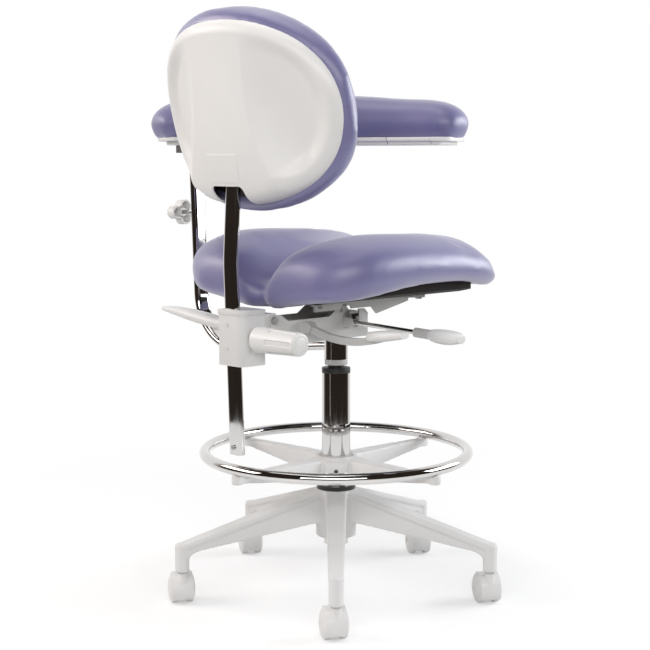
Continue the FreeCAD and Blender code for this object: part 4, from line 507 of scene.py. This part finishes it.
class STOOL_OT_finishes(Operator):
    """Make the finishes and lay them on the solids"""
    bl_idname = "stool.finishes"
    bl_label = "Finishes"

    def execute(self, context):
        make_finishes(context.scene.stool_finish)
        slots = {row["node"]: row["material_slot"] for row in frame["record"]["subparts"]}
        for node, solid in frame["nodes"].items():
            solid.data.materials.clear()
            solid.data.materials.append(FINISHES[slots[node]])
        return {"FINISHED"}


# Cushions

RELAX_BEFORE = 4
RELAX_AFTER = 16

# Share by which a hollow and a round part of the seat's skin move in each of the filling passes
FILL_PASSES = 120
FILL_HOLLOW = 0.5
FILL_ROUND = 0.02
# Half width of the seat's middle, which keeps its hollow, and the run over which the filling starts
FILL_MIDDLE = 0.055
FILL_BLEND = 0.030

# Stretches along Y, from the column's axis, over which the seat's rear edge drops and its lobes rise
DROP_RUN = (-0.060, 0.110)
RISE_RUN = (-0.060, 0.100)
# Stretches along Y, measured forwards from the seat's rear
NOTCH_RUN = (0.085, 0.004)
GROOVE_RUN = (0.200, 0.040)
# Levels above the seat's lowest point, and below its highest one for the groove
EDGE_LEVEL = 0.009
NOTCH_LEVELS = (0.022, 0.050)
RISE_LEVELS = (0.020, 0.060)
GROOVE_LEVELS = (0.085, 0.045)

# Skin this near to what carries a cushion is held while the cushion fills
PAN_MARGIN = 0.008
PAN_HOLD = 0.004
COVER_HOLD = 0.006
TRAY_HOLD = 0.006


def fill_cushion(piece, sizes, cap, held):
    # Air pressure fills the skin; points that rest on something are pinned, and no point moves past the cap
    rest = [vertex.co.copy() for vertex in piece.data.vertices]
    pins = piece.vertex_groups.new(name="held")
    pins.add([i for i, point in enumerate(rest) if held(point)], 1.0, "ADD")
    take(piece)
    cloth = piece.modifiers.new("filling", "CLOTH")
    cloth.settings.use_pressure = True
    cloth.settings.uniform_pressure_force = sizes.pressure
    cloth.settings.effector_weights.gravity = 0.0
    cloth.settings.vertex_group_mass = pins.name
    cloth.point_cache.frame_start = 1
    cloth.point_cache.frame_end = sizes.frames
    for moment in range(1, sizes.frames + 1):
        bpy.context.scene.frame_set(moment)
    bpy.ops.object.modifier_apply(modifier=cloth.name)
    bpy.context.scene.frame_set(1)
    for vertex, start in zip(piece.data.vertices, rest):
        move = vertex.co - start
        if move.length > cap:
            vertex.co = start + move * (cap / move.length)
    piece.vertex_groups.clear()


def make_cushion(node, name, body, inset, cap, held, form=None):
    sizes = bpy.context.scene.stool_cushions
    piece = copy_of_node(node, name)
    apply_modifier(piece, "REMESH", mode="VOXEL", voxel_size=sizes.voxel, use_smooth_shade=True)
    apply_modifier(piece, "SMOOTH", factor=RELAX, iterations=RELAX_BEFORE)
    apply_modifier(piece, "DISPLACE", strength=-inset, mid_level=0.0)
    if form:
        form(piece, sizes)
    fill_cushion(piece, sizes, cap, held)
    apply_modifier(piece, "SMOOTH", factor=RELAX, iterations=RELAX_AFTER)
    apply_modifier(piece, "SUBSURF", levels=1, render_levels=1)
    smooth(piece, 80.0)
    dress(piece, body, "vinyl", node)
    return piece


def fill_dents(piece):
    # Stuffing pushes hollows of the lobes outwards and leaves their round parts and the middle as they are
    mesh = piece.data
    count = len(mesh.vertices)
    places = numpy.empty(count * 3)
    mesh.vertices.foreach_get("co", places)
    places = places.reshape(count, 3)
    edges = numpy.empty(len(mesh.edges) * 2, dtype=numpy.int64)
    mesh.edges.foreach_get("vertices", edges)
    first, second = edges[0::2], edges[1::2]
    degree = numpy.bincount(edges, minlength=count)[:, None]
    free = numpy.clip((numpy.abs(places[:, 0]) - FILL_MIDDLE) / FILL_BLEND, 0.0, 1.0)[:, None]
    normals = numpy.empty(count * 3)

    def neighbour_sum(axis):
        ahead = numpy.bincount(first, places[second, axis], count)
        return ahead + numpy.bincount(second, places[first, axis], count)

    for _ in range(FILL_PASSES):
        mesh.vertices.foreach_set("co", places.ravel())
        mesh.update()
        mesh.vertices.foreach_get("normal", normals)
        total = numpy.stack([neighbour_sum(axis) for axis in range(3)], axis=1)
        pull = total / degree - places
        hollow = (pull * normals.reshape(count, 3)).sum(axis=1, keepdims=True) > 0.0
        places = places + pull * free * numpy.where(hollow, FILL_HOLLOW, FILL_ROUND)
    mesh.vertices.foreach_set("co", places.ravel())
    mesh.update()


def notched(piece, sizes):
    # The rear notch between the two thigh lobes, and the groove that runs into it
    fill_dents(piece)
    low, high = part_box("seat_pad")
    middle = (low + high) / 2.0
    for vertex in piece.data.vertices:
        point = vertex.co
        point.x = middle.x + (point.x - middle.x) * sizes.seat_spread
        point.y = middle.y + (point.y - middle.y) * sizes.seat_spread
        edge = 1.0 - ease(point.z, low.z, low.z + EDGE_LEVEL)
        point.z -= sizes.lobe_drop * edge * ease(point.y, *DROP_RUN)
        across = math.exp(-(point.x / sizes.notch_width) ** 2)
        rear = ease(point.y, *[high.y - run for run in NOTCH_RUN])
        above = ease(point.z, *[low.z + level for level in NOTCH_LEVELS])
        depth = sizes.notch_foot + (sizes.notch_depth - sizes.notch_foot) * above
        top = ease(point.z, *[high.z - level for level in GROOVE_LEVELS])
        groove = ease(point.y, *[high.y - run for run in GROOVE_RUN])
        point.y -= depth * across * rear
        upper = ease(point.z, *[low.z + level for level in RISE_LEVELS])
        point.z += sizes.rear_rise * ease(point.y, *RISE_RUN) * upper
        dip = math.exp(-(point.x / sizes.groove_width) ** 2)
        point.z -= sizes.groove_depth * dip * groove * top


def tucked(piece, sizes):
    # The arm cushion's skin draws in under its edge all round
    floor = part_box("arm_pad")[0].z
    sides = [Vector((vertex.normal.x, vertex.normal.y, 0.0)) for vertex in piece.data.vertices]
    for vertex, side in zip(piece.data.vertices, sides):
        share = 1.0 - ease(vertex.co.z, floor - sizes.tuck_start, floor + sizes.tuck_height)
        vertex.co -= side * (sizes.tuck * share)


class STOOL_OT_seat_cushion(Operator):
    """Make the saddle-shaped seat cushion"""
    bl_idname = "stool.seat_cushion"
    bl_label = "Seat cushion"

    def execute(self, context):
        sizes = context.scene.stool_cushions
        low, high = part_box("seat_board")

        def held(point):
            inside_x = low.x - PAN_MARGIN < point.x < high.x + PAN_MARGIN
            inside_y = low.y - PAN_MARGIN < point.y < high.y + PAN_MARGIN
            return inside_x and inside_y and point.z < high.z + PAN_HOLD

        cushion = make_cushion(
            "seat_pad", "seat_cushion", "seat", sizes.seat_inset, sizes.seat_swell, held, notched
        )
        return {"FINISHED"}


class STOOL_OT_back_cushion(Operator):
    """Make the back cushion that wraps round the cover's rim"""
    bl_idname = "stool.back_cushion"
    bl_label = "Back cushion"

    def execute(self, context):
        sizes = context.scene.stool_cushions
        cover = context.scene.stool_back_cover

        def held(point):
            return cover_coordinates(cover, point)[1] > -COVER_HOLD

        cushion = make_cushion(
            "back_pad", "back_cushion", "backrest", sizes.back_inset, sizes.back_swell, held
        )
        return {"FINISHED"}


class STOOL_OT_arm_cushion(Operator):
    """Make the curved cushion of the support arm"""
    bl_idname = "stool.arm_cushion"
    bl_label = "Arm cushion"

    def execute(self, context):
        sizes = context.scene.stool_cushions
        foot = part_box("arm_pad")[0].z

        def held(point):
            return point.z < foot + TRAY_HOLD

        cushion = make_cushion(
            "arm_pad", "arm_cushion", "arm_top", sizes.arm_inset, sizes.arm_swell, held, tucked
        )
        return {"FINISHED"}


# Cover of the backrest

COVER_CELLS = 176
PLATE_CELLS = (28, 20)
PLATE_LIFT = 0.0007
PLATE_THICKNESS = 0.0012
PLATE_EDGE = 0.0004
# Heights from the rim's widest line between which the spine sinks into the rim's band
SPINE_FOOT = -0.115
SPINE_HEAD = 0.150
# Height of the spine's waist, and the height over which it widens by its flare
WAIST_HEIGHT = 0.050
FLARE_SPAN = 0.145
# Shares of the rim's band between which a scoop sinks
SCOOP_START = 0.45
SCOOP_END = 1.5
# How much wider the rim's rounding gets where the body stands out, and the rounding's exponent
ROUND_GAIN = 0.9
ROUND_POWER = 2.2
NEAR_MIDDLE = 0.001
# The block that cuts the slot reaches past the cover's lower end, through it and behind it
SLOT_OVERRUN = 1.25
SLOT_CUT_DEPTH = 0.16
SLOT_CUT_BACK = 0.035
SLOT_CORNER = 0.010


def cover_point(cover, x, height, depth):
    wrap = cover.wrap * (x / cover.wrap_span) ** 2
    y = cover.centre_y + height * math.sin(cover.lean) + depth * math.cos(cover.lean) - wrap
    z = cover.centre_z + height * math.cos(cover.lean) - depth * math.sin(cover.lean)
    return Vector((x, y, z))


def cover_coordinates(cover, point):
    wrap = cover.wrap * (point.x / cover.wrap_span) ** 2
    across = point.y - cover.centre_y + wrap
    up = point.z - cover.centre_z
    height = across * math.sin(cover.lean) + up * math.cos(cover.lean)
    depth = across * math.cos(cover.lean) - up * math.sin(cover.lean)
    return height, depth


def rim_distance(cover, x, height):
    # Distance left to the rim along the ray from the middle
    tall = cover.rise if height > 0 else cover.fall
    share = ((abs(x) / cover.half_width) ** cover.squareness + (abs(height) / tall) ** cover.squareness)
    share = share ** (1.0 / cover.squareness)
    if share < NEAR_MIDDLE:
        return 1.0
    reach = math.hypot(x, height)
    return reach / share - reach


def cover_depth(cover, x, height):
    left = max(0.0, rim_distance(cover, x, height))
    climb = ease(height, SPINE_FOOT, SPINE_HEAD)
    spine = cover.spine_depth + (cover.rim_depth - cover.spine_depth) * climb
    waist = cover.spine_waist + cover.spine_flare * ((height - WAIST_HEIGHT) / FLARE_SPAN) ** 2
    share = min(1.0, max(0.0, (abs(x) - waist) / cover.spine_slope))
    away = 0.5 * ease(share, 0.0, 1.0) + 0.5 * (1.0 - (1.0 - share) ** 2)
    body = spine + (cover.rim_depth - spine) * away
    scoop = away * ease(left, SCOOP_START * cover.rim_band, SCOOP_END * cover.rim_band)
    body += (cover.scoop_floor - cover.rim_depth) * scoop
    round_width = cover.rim_round + ROUND_GAIN * max(0.0, body - cover.rim_depth)
    turn = min(1.0, left / round_width)
    return body * math.sqrt(max(0.0, 1.0 - (1.0 - turn) ** ROUND_POWER))


def disc_place(u, v):
    # A square grid pressed onto a disc, so that no pole shows in the middle
    return u * math.sqrt(1.0 - v * v / 2.0), v * math.sqrt(1.0 - u * u / 2.0)


def cover_sheet(cover):
    piece = grid(COVER_CELLS, COVER_CELLS)
    for vertex in piece.data.vertices:
        a, b = disc_place(vertex.co.x, vertex.co.y)
        radius = min(1.0, math.hypot(a, b))
        angle = math.atan2(b, a)
        power = cover.squareness
        stretch = (abs(math.cos(angle)) ** power + abs(math.sin(angle)) ** power) ** (-1.0 / power)
        tall = cover.rise if b > 0 else cover.fall
        x = -cover.half_width * radius * stretch * math.cos(angle)
        height = tall * radius * stretch * math.sin(angle)
        vertex.co = cover_point(cover, x, height, cover_depth(cover, x, height))
    return piece


def slot_cutter(cover):
    clear_selection()
    bpy.ops.mesh.primitive_cube_add(size=1.0)
    piece = bpy.context.object
    bottom = -SLOT_OVERRUN * cover.fall
    middle = (cover.slot_top + bottom) / 2
    piece.scale = (2 * cover.slot_half, SLOT_CUT_DEPTH, cover.slot_top - bottom)
    piece.rotation_euler = (-cover.lean, 0.0, 0.0)
    piece.location = cover_point(cover, 0.0, middle, SLOT_CUT_BACK)
    settle(piece, "slot_cutter")

    def upper_side(start, end):
        lowest = min(cover_coordinates(cover, point)[0] for point in (start, end))
        return lowest > middle and abs(start.x - end.x) < SAME_SIDE

    bevel_edges(piece, upper_side, SLOT_CORNER, 6)
    return piece


def face_rear(piece, polygon):
    turn_outwards(piece)
    if piece.data.polygons[polygon].normal.y < 0:
        piece.data.flip_normals()


class STOOL_OT_back_cover(Operator):
    """Make the moulded cover of the backrest, with its spine, scoops, slot and bare plate"""
    bl_idname = "stool.back_cover"
    bl_label = "Back cover"

    def execute(self, context):
        cover = context.scene.stool_back_cover
        piece = settle(cover_sheet(cover), "back_cover")
        face_rear(piece, len(piece.data.polygons) // 2)
        apply_modifier(piece, "SOLIDIFY", thickness=cover.wall, offset=-1.0)
        cutter = slot_cutter(cover)
        apply_modifier(piece, "BOOLEAN", object=cutter, operation="DIFFERENCE", solver="EXACT")
        bpy.data.objects.remove(cutter)
        smooth(piece, 40.0)
        dress(piece, "backrest", "shell_white", "back_shell")
        self.bare_plate(cover)
        return {"FINISHED"}

    def bare_plate(self, cover):
        piece = grid(*PLATE_CELLS)
        middle = (cover.plate_top + cover.plate_bottom) / 2
        half_tall = (cover.plate_top - cover.plate_bottom) / 2
        for vertex in piece.data.vertices:
            x = -cover.plate_half * vertex.co.x
            height = middle + half_tall * vertex.co.y
            vertex.co = cover_point(cover, x, height, cover_depth(cover, x, height) + PLATE_LIFT)
        settle(piece, "back_cover_plate")
        face_rear(piece, 0)
        apply_modifier(piece, "SOLIDIFY", thickness=PLATE_THICKNESS, offset=-1.0)
        apply_modifier(piece, "BEVEL", width=PLATE_EDGE, segments=2, limit_method="ANGLE")
        smooth(piece)
        dress(piece, "backrest", "shell_white")


# Tray under the arm cushion

BAR_SLICE = 0.012
CORNER_SEGMENTS = 10
STEP_OVERLAP = 0.001
# By how much the lower step's corners are tighter than the upper step's, in front and at the side
CORNER_DROPS = (0.018, 0.006)


def on_arc(tray, run, across, z):
    # A straight bar's point, bent onto the arm's arc; run is measured along it from the sitter's side
    angle = run / tray.radius
    reach = tray.radius + across
    return Vector((tray.centre_x + reach * math.cos(angle), tray.centre_y + reach * math.sin(angle), z))


def rounded_bar(first, last, half, low, high, corner_first, corner_last, edge):
    # A bar along X with rounded ends in plan and eased edges, sliced so that it can be bent
    clear_selection()
    bpy.ops.mesh.primitive_cube_add(size=1.0)
    piece = bpy.context.object
    piece.scale = (last - first, 2 * half, high - low)
    piece.location = ((first + last) / 2, 0.0, (low + high) / 2)
    bpy.ops.object.transform_apply(location=True, rotation=True, scale=True)
    for at, corner in ((first, corner_first), (last, corner_last)):
        def upright_at_end(start, end):
            at_end = all(abs(point.x - at) < SAME_SIDE / 2 for point in (start, end))
            return at_end and abs(start.z - end.z) > SAME_SIDE

        if corner > 0:
            bevel_edges(piece, upright_at_end, corner, CORNER_SEGMENTS)
    apply_modifier(piece, "BEVEL", width=edge, segments=3, limit_method="ANGLE", angle_limit=math.radians(40))
    slices = max(2, int((last - first) / BAR_SLICE))
    bpy.ops.object.mode_set(mode="EDIT")
    for i in range(1, slices):
        at = first + (last - first) * i / slices
        bpy.ops.mesh.select_all(action="SELECT")
        bpy.ops.mesh.bisect(plane_co=(at, 0.0, 0.0), plane_no=(1.0, 0.0, 0.0))
    bpy.ops.object.mode_set(mode="OBJECT")
    return piece


class STOOL_OT_arm_tray(Operator):
    """Make the arm's two-step tray from three mouldings with fine joints between them"""
    bl_idname = "stool.arm_tray"
    bl_label = "Arm tray"

    def execute(self, context):
        tray = context.scene.stool_arm_tray
        low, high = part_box("arm_tray")
        start = tray.front_end * tray.radius
        end = tray.side_end * tray.radius
        joints = (start, start + tray.first_seam, start + tray.second_seam, end)
        step = low.z + tray.step_height
        bars = []
        for i in range(3):
            # Joints lie between the mouldings, and only the outer ends are rounded and stand back below
            front, side = float(i == 0), float(i == 2)
            first = joints[i] + (1.0 - front) * tray.seam_gap / 2
            last = joints[i + 1] - (1.0 - side) * tray.seam_gap / 2
            corners = (front * tray.front_corner, side * tray.side_corner)
            bars.append(rounded_bar(first, last, tray.half_width, step, high.z, *corners, tray.edge))
            corners = [max(0.0, corner - drop) for corner, drop in zip(corners, CORNER_DROPS)]
            bars.append(rounded_bar(
                first + front * tray.foot_inset, last - side * tray.foot_inset,
                tray.foot_half_width, low.z, step + STEP_OVERLAP, *corners, tray.edge,
            ))
        clear_selection()
        for bar in bars:
            bar.select_set(True)
        bpy.context.view_layer.objects.active = bars[0]
        bpy.ops.object.join()
        piece = bars[0]
        for vertex in piece.data.vertices:
            vertex.co = on_arc(tray, vertex.co.x, vertex.co.y, vertex.co.z)
        settle(piece, "arm_tray_moulding")
        smooth(piece, 40.0)
        dress(piece, "arm_top", "shell_white", "arm_tray")
        return {"FINISHED"}


# Castings, mouldings and fittings

ROUNDED_PIECES = (
    # solid, piece, body, slot, width of the rounding in metres
    ("back_block", "post_block", "back_carrier", "block_grey", 0.0030),
    ("block_lid", "post_block_lid", "back_carrier", "block_grey", 0.0028),
    ("arm_knob", "arm_clamp_cap", "arm_clamp", "shell_white", 0.0016),
    ("mechanism_housing", "tilt_housing", "carriage", "mechanism_grey", 0.0010),
    ("seat_plate", "seat_spider", "seat", "mechanism_grey", 0.0010),
    ("shaft_collar", "shaft_ring", "carriage", "mechanism_grey", 0.0010),
    ("column_bush", "column_cap", "base", "black_plastic", 0.0012),
    ("tilt_lever_arm", "tilt_bar", "tilt_lever", "mechanism_grey", 0.0012),
)

CASTINGS = (
    # solid, piece, body, size of the remesh in metres
    ("star_base", "star_casting", "base", 0.0022),
    ("footring_spider", "ring_spokes", "footring", 0.0020),
)
CAST_PASSES = 5


class STOOL_OT_castings(Operator):
    """Make the star base and the foot ring's spokes as castings with soft corners"""
    bl_idname = "stool.castings"
    bl_label = "Castings"

    def execute(self, context):
        for node, name, body, voxel in CASTINGS:
            piece = cast_node(node, name, voxel, CAST_PASSES)
            dress(piece, body, "base_enamel", node)
        return {"FINISHED"}


class STOOL_OT_fittings(Operator):
    """Round off the fittings' corners"""
    bl_idname = "stool.fittings"
    bl_label = "Fittings"

    def execute(self, context):
        for node, name, body, slot, width in ROUNDED_PIECES:
            dress(rounded_node(node, name, width), body, slot, node)
        return {"FINISHED"}


GRIP_COLUMNS = 216
GRIP_ROWS = 72
# Half the run of a flute's side walls and of its end walls
FLUTE_SIDE = 0.0007
FLUTE_END = 0.0006


def grip_radius(grip, radius, along, angle):
    # Flat-bottomed flutes with square ends, cut into the cone
    turn = math.remainder(angle, math.tau / grip.flutes) * radius
    half = grip.flute_width / 2
    inside = 1.0 - ease(abs(turn), half - FLUTE_SIDE, half + FLUTE_SIDE)
    from_start = ease(along, grip.flute_start - FLUTE_END, grip.flute_start + FLUTE_END)
    before_end = 1.0 - ease(along, grip.flute_end - FLUTE_END, grip.flute_end + FLUTE_END)
    return radius - grip.flute_depth * inside * from_start * before_end


def grip_profile(grip):
    # Distance along the axis and radius, from the middle of the rear face to the middle of the cap
    base, tip, reach = grip.base_radius, grip.tip_radius, grip.reach
    line = [
        (0.0, 0.0), (0.0, 0.6 * base), (0.0, base - 0.0030), (0.0006, base - 0.0012),
        (0.0020, base - 0.0002),
    ]
    for i in range(1, GRIP_ROWS):
        share = i / GRIP_ROWS
        line.append((0.0030 + (reach - 0.0060) * share, base + (tip - base) * share))
    line += [
        (reach - 0.0026, tip - 0.0002), (reach - 0.0012, tip - 0.0008), (reach - 0.0003, tip - 0.0020),
        (reach, tip - 0.0034), (reach, 0.70 * tip), (reach - 0.0004, 0.685 * tip),
        (reach - 0.0010, 0.675 * tip), (reach - 0.0010, 0.655 * tip), (reach - 0.0002, 0.640 * tip),
        (reach + 0.0001, 0.60 * tip), (reach + 0.0004, 0.40 * tip), (reach + 0.0005, 0.20 * tip),
        (reach + 0.0005, 0.0),
    ]
    return line


class STOOL_OT_back_grip(Operator):
    """Make the fluted grip of the knob that clamps the back post"""
    bl_idname = "stool.back_grip"
    bl_label = "Back grip"

    def execute(self, context):
        grip = context.scene.stool_back_grip
        low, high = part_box("back_knob_grip")
        axis_y = (low.y + high.y) / 2
        axis_z = (low.z + high.z) / 2
        line = grip_profile(grip)
        piece = grid(GRIP_COLUMNS, len(line) - 1)
        for vertex in piece.data.vertices:
            angle = math.pi * (vertex.co.x + 1.0)
            along, radius = line[round((vertex.co.y + 1.0) / 2.0 * (len(line) - 1))]
            radius = grip_radius(grip, radius, along, angle)
            vertex.co = (high.x - along, axis_y + radius * math.cos(angle), axis_z + radius * math.sin(angle))
        turn_outwards(piece, GRIP_MERGE)
        settle(piece, "back_grip")
        smooth(piece, 40.0)
        dress(piece, "back_knob", "lever_white", "back_knob_grip")
        return {"FINISHED"}


class STOOL_OT_casters(Operator):
    """Make the five twin-wheel casters"""
    bl_idname = "stool.casters"
    bl_label = "Casters"

    def execute(self, context):
        for k in CASTER_NUMBERS:
            for part, body, width in (("hood", "caster", 0.0012), ("wheels", "wheels", 0.0008)):
                node = "caster_%s_%d" % (part, k)
                piece = rounded_node(node, "caster_%s_moulding_%d" % (part, k), width, 2)
                dress(piece, "%s_%d" % (body, k), "caster_white", node)
        return {"FINISHED"}


# Floor, light and camera

LAMP_TARGET = Vector((0.0, 0.0, 0.60))
SOFTBOXES = (
    # side, place, width, height and tint; the stage's own value for that side gives the power
    ("left", (1.75, 1.78, 1.50), 1.9, 0.9, (1.0, 0.92, 0.88)),
    ("right", (-1.43, -2.05, 1.15), 1.8, 1.0, (0.94, 0.965, 1.0)),
    ("front", (-1.78, 1.92, 1.30), 2.6, 0.5, (1.0, 0.98, 0.98)),
    ("top", (0.05, 0.35, 2.45), 1.7, 1.3, (1.0, 0.985, 0.98)),
)
STUDIO_DARK = (0.54, (0.028, 0.021, 0.017, 1.0))
STUDIO_DUSK = (0.66, (0.16, 0.13, 0.11, 1.0))
STUDIO_WHITE = (0.78, WHITE)
FLOOR_SIDES = 96
FADE_END = 0.94
# The camera's place, its level way into the scene, how far it looks down, and its lens
CAMERA_PLACE = (-1.7325, 1.7325, 0.75345)
CAMERA_WAY = Vector((0.70711, -0.70711, 0.0))
CAMERA_DIP = 0.114
CAMERA_SENSOR = 36.0
CAMERA_LENS = 78.496
CAMERA_SHIFT = -0.0171


def softbox(name, place, width, tall, energy, tint):
    clear_selection()
    bpy.ops.object.light_add(type="AREA", location=place)
    lamp = bpy.context.object
    lamp.name = name
    lamp.data.shape = "RECTANGLE"
    lamp.data.size = width
    lamp.data.size_y = tall
    lamp.data.energy = energy
    lamp.data.color = tint
    lamp.rotation_euler = (LAMP_TARGET - Vector(place)).to_track_quat("-Z", "Y").to_euler()


def seen_plainly(tree, paths):
    # One for what the camera sees, also in a mirror or through glass
    shown = arithmetic(tree, "MAXIMUM", paths.outputs["Is Camera Ray"], paths.outputs["Is Glossy Ray"])
    return arithmetic(tree, "MAXIMUM", shown, paths.outputs["Is Transmission Ray"])


def studio_world(settings):
    world = bpy.data.worlds.new("studio")
    bpy.context.scene.world = world
    world.use_nodes = True
    tree = world.node_tree
    ground = tree.nodes["Background"]
    out = tree.nodes["World Output"]
    ground.inputs["Color"].default_value = WHITE
    ground.inputs["Strength"].default_value = settings.ambient
    backdrop = tree.nodes.new("ShaderNodeBackground")
    backdrop.inputs["Strength"].default_value = 1.0
    paths = tree.nodes.new("ShaderNodeLightPath")
    place = tree.nodes.new("ShaderNodeTexCoord")
    facing = tree.nodes.new("ShaderNodeVectorMath")
    facing.operation = "DOT_PRODUCT"
    facing.inputs[1].default_value = CAMERA_WAY
    tree.links.new(place.outputs["Generated"], facing.inputs[0])
    # The studio is white behind the stool and dark on the camera's side, which bright metal shows
    ramp = tree.nodes.new("ShaderNodeValToRGB")
    stops = ramp.color_ramp.elements
    stops[0].position, stops[0].color = STUDIO_DARK
    stops[1].position, stops[1].color = STUDIO_WHITE
    stops.new(STUDIO_DUSK[0]).color = STUDIO_DUSK[1]
    half = arithmetic(tree, "MULTIPLY_ADD", facing.outputs["Value"], 0.5, 0.5)
    tree.links.new(half, ramp.inputs["Fac"])
    seen = blend(tree, paths.outputs["Is Camera Ray"], ramp.outputs["Color"], WHITE)
    tree.links.new(seen, backdrop.inputs["Color"])
    mix = tree.nodes.new("ShaderNodeMixShader")
    tree.links.new(seen_plainly(tree, paths), mix.inputs["Fac"])
    tree.links.new(ground.outputs["Background"], mix.inputs[1])
    tree.links.new(backdrop.outputs["Background"], mix.inputs[2])
    tree.links.new(mix.outputs["Shader"], out.inputs["Surface"])


def floor_material(settings):
    material = bpy.data.materials.new("studio_floor")
    material.use_nodes = True
    tree = material.node_tree
    tree.nodes.remove(tree.nodes["Principled BSDF"])
    # The floor fades to plain white away from the stool, so that no horizon shows
    place = tree.nodes.new("ShaderNodeTexCoord")
    reach = tree.nodes.new("ShaderNodeVectorMath")
    reach.operation = "LENGTH"
    tree.links.new(place.outputs["Object"], reach.inputs[0])
    fade = tree.nodes.new("ShaderNodeMapRange")
    fade.interpolation_type = "SMOOTHSTEP"
    fade.inputs["From Min"].default_value = settings.fade_start
    fade.inputs["From Max"].default_value = FADE_END * settings.floor_radius
    tree.links.new(reach.outputs["Value"], fade.inputs["Value"])
    tint = blend(tree, fade.outputs["Result"], shaded(settings.floor_colour, 1.0), BLACK)
    matte = tree.nodes.new("ShaderNodeBsdfDiffuse")
    tree.links.new(tint, matte.inputs["Color"])
    least = settings.floor_glow
    level = arithmetic(tree, "MULTIPLY_ADD", fade.outputs["Result"], 1.0 - least, least)
    glow = tree.nodes.new("ShaderNodeEmission")
    paths = tree.nodes.new("ShaderNodeLightPath")
    shine = arithmetic(tree, "MULTIPLY", seen_plainly(tree, paths), level)
    tree.links.new(shine, glow.inputs["Strength"])
    both = tree.nodes.new("ShaderNodeAddShader")
    tree.links.new(matte.outputs["BSDF"], both.inputs[0])
    tree.links.new(glow.outputs["Emission"], both.inputs[1])
    tree.links.new(both.outputs["Shader"], tree.nodes["Material Output"].inputs["Surface"])
    return material


class STOOL_OT_stage(Operator):
    """Set the pale floor, the softboxes and the camera"""
    bl_idname = "stool.stage"
    bl_label = "Stage"

    def execute(self, context):
        settings = context.scene.stool_stage
        clear_selection()
        radius = settings.floor_radius
        bpy.ops.mesh.primitive_circle_add(vertices=FLOOR_SIDES, radius=radius, fill_type="NGON")
        floor = settle(bpy.context.object, "studio_floor")
        floor.data.materials.append(floor_material(settings))
        studio_world(settings)
        for side, place, width, tall, tint in SOFTBOXES:
            softbox(side + "_softbox", place, width, tall, getattr(settings, side + "_power"), tint)
        clear_selection()
        bpy.ops.object.camera_add(location=CAMERA_PLACE)
        camera = bpy.context.object
        camera.name = "photo_camera"
        way = CAMERA_WAY * math.cos(CAMERA_DIP) + Vector((0.0, 0.0, -math.sin(CAMERA_DIP)))
        camera.rotation_euler = way.to_track_quat("-Z", "Y").to_euler()
        camera.data.sensor_width = CAMERA_SENSOR
        camera.data.lens = CAMERA_LENS
        camera.data.shift_x = CAMERA_SHIFT
        context.scene.camera = camera
        context.scene.view_settings.view_transform = "Standard"
        return {"FINISHED"}


class STOOL_PT_panel(Panel):
    """Lists the stool's pieces in the order in which they are made"""
    bl_idname = "STOOL_PT_panel"
    bl_label = "Clinic stool"
    bl_space_type = "VIEW_3D"
    bl_region_type = "UI"
    bl_category = "Stool"

    def draw(self, context):
        for step in STEPS:
            self.layout.operator(step.bl_idname)
        for group in GROUPS:
            values = getattr(context.scene, group)
            box = self.layout.box()
            for label in values.__annotations__:
                box.prop(values, label)


GROUPS = {
    "stool_finish": StoolFinish,
    "stool_cushions": StoolCushions,
    "stool_back_cover": StoolBackCover,
    "stool_arm_tray": StoolArmTray,
    "stool_back_grip": StoolBackGrip,
    "stool_stage": StoolStage,
}

STEPS = (
    STOOL_OT_finishes,
    STOOL_OT_seat_cushion,
    STOOL_OT_back_cushion,
    STOOL_OT_arm_cushion,
    STOOL_OT_back_cover,
    STOOL_OT_arm_tray,
    STOOL_OT_castings,
    STOOL_OT_fittings,
    STOOL_OT_back_grip,
    STOOL_OT_casters,
    STOOL_OT_stage,
)


CLASSES = (*GROUPS.values(), *STEPS, STOOL_PT_panel)


def register():
    for each in CLASSES:
        bpy.utils.register_class(each)
    for name, group in GROUPS.items():
        setattr(bpy.types.Scene, name, PointerProperty(type=group))


def unregister():
    for name in GROUPS:
        delattr(bpy.types.Scene, name)
    for each in reversed(CLASSES):
        bpy.utils.unregister_class(each)


def main():
    register()
    bpy.ops.stool.finishes()
    bpy.ops.stool.seat_cushion()
    bpy.ops.stool.back_cushion()
    bpy.ops.stool.arm_cushion()
    bpy.ops.stool.back_cover()
    bpy.ops.stool.arm_tray()
    bpy.ops.stool.castings()
    bpy.ops.stool.fittings()
    bpy.ops.stool.back_grip()
    bpy.ops.stool.casters()
    bpy.ops.stool.stage()


if __name__ == "__main__":
    main()
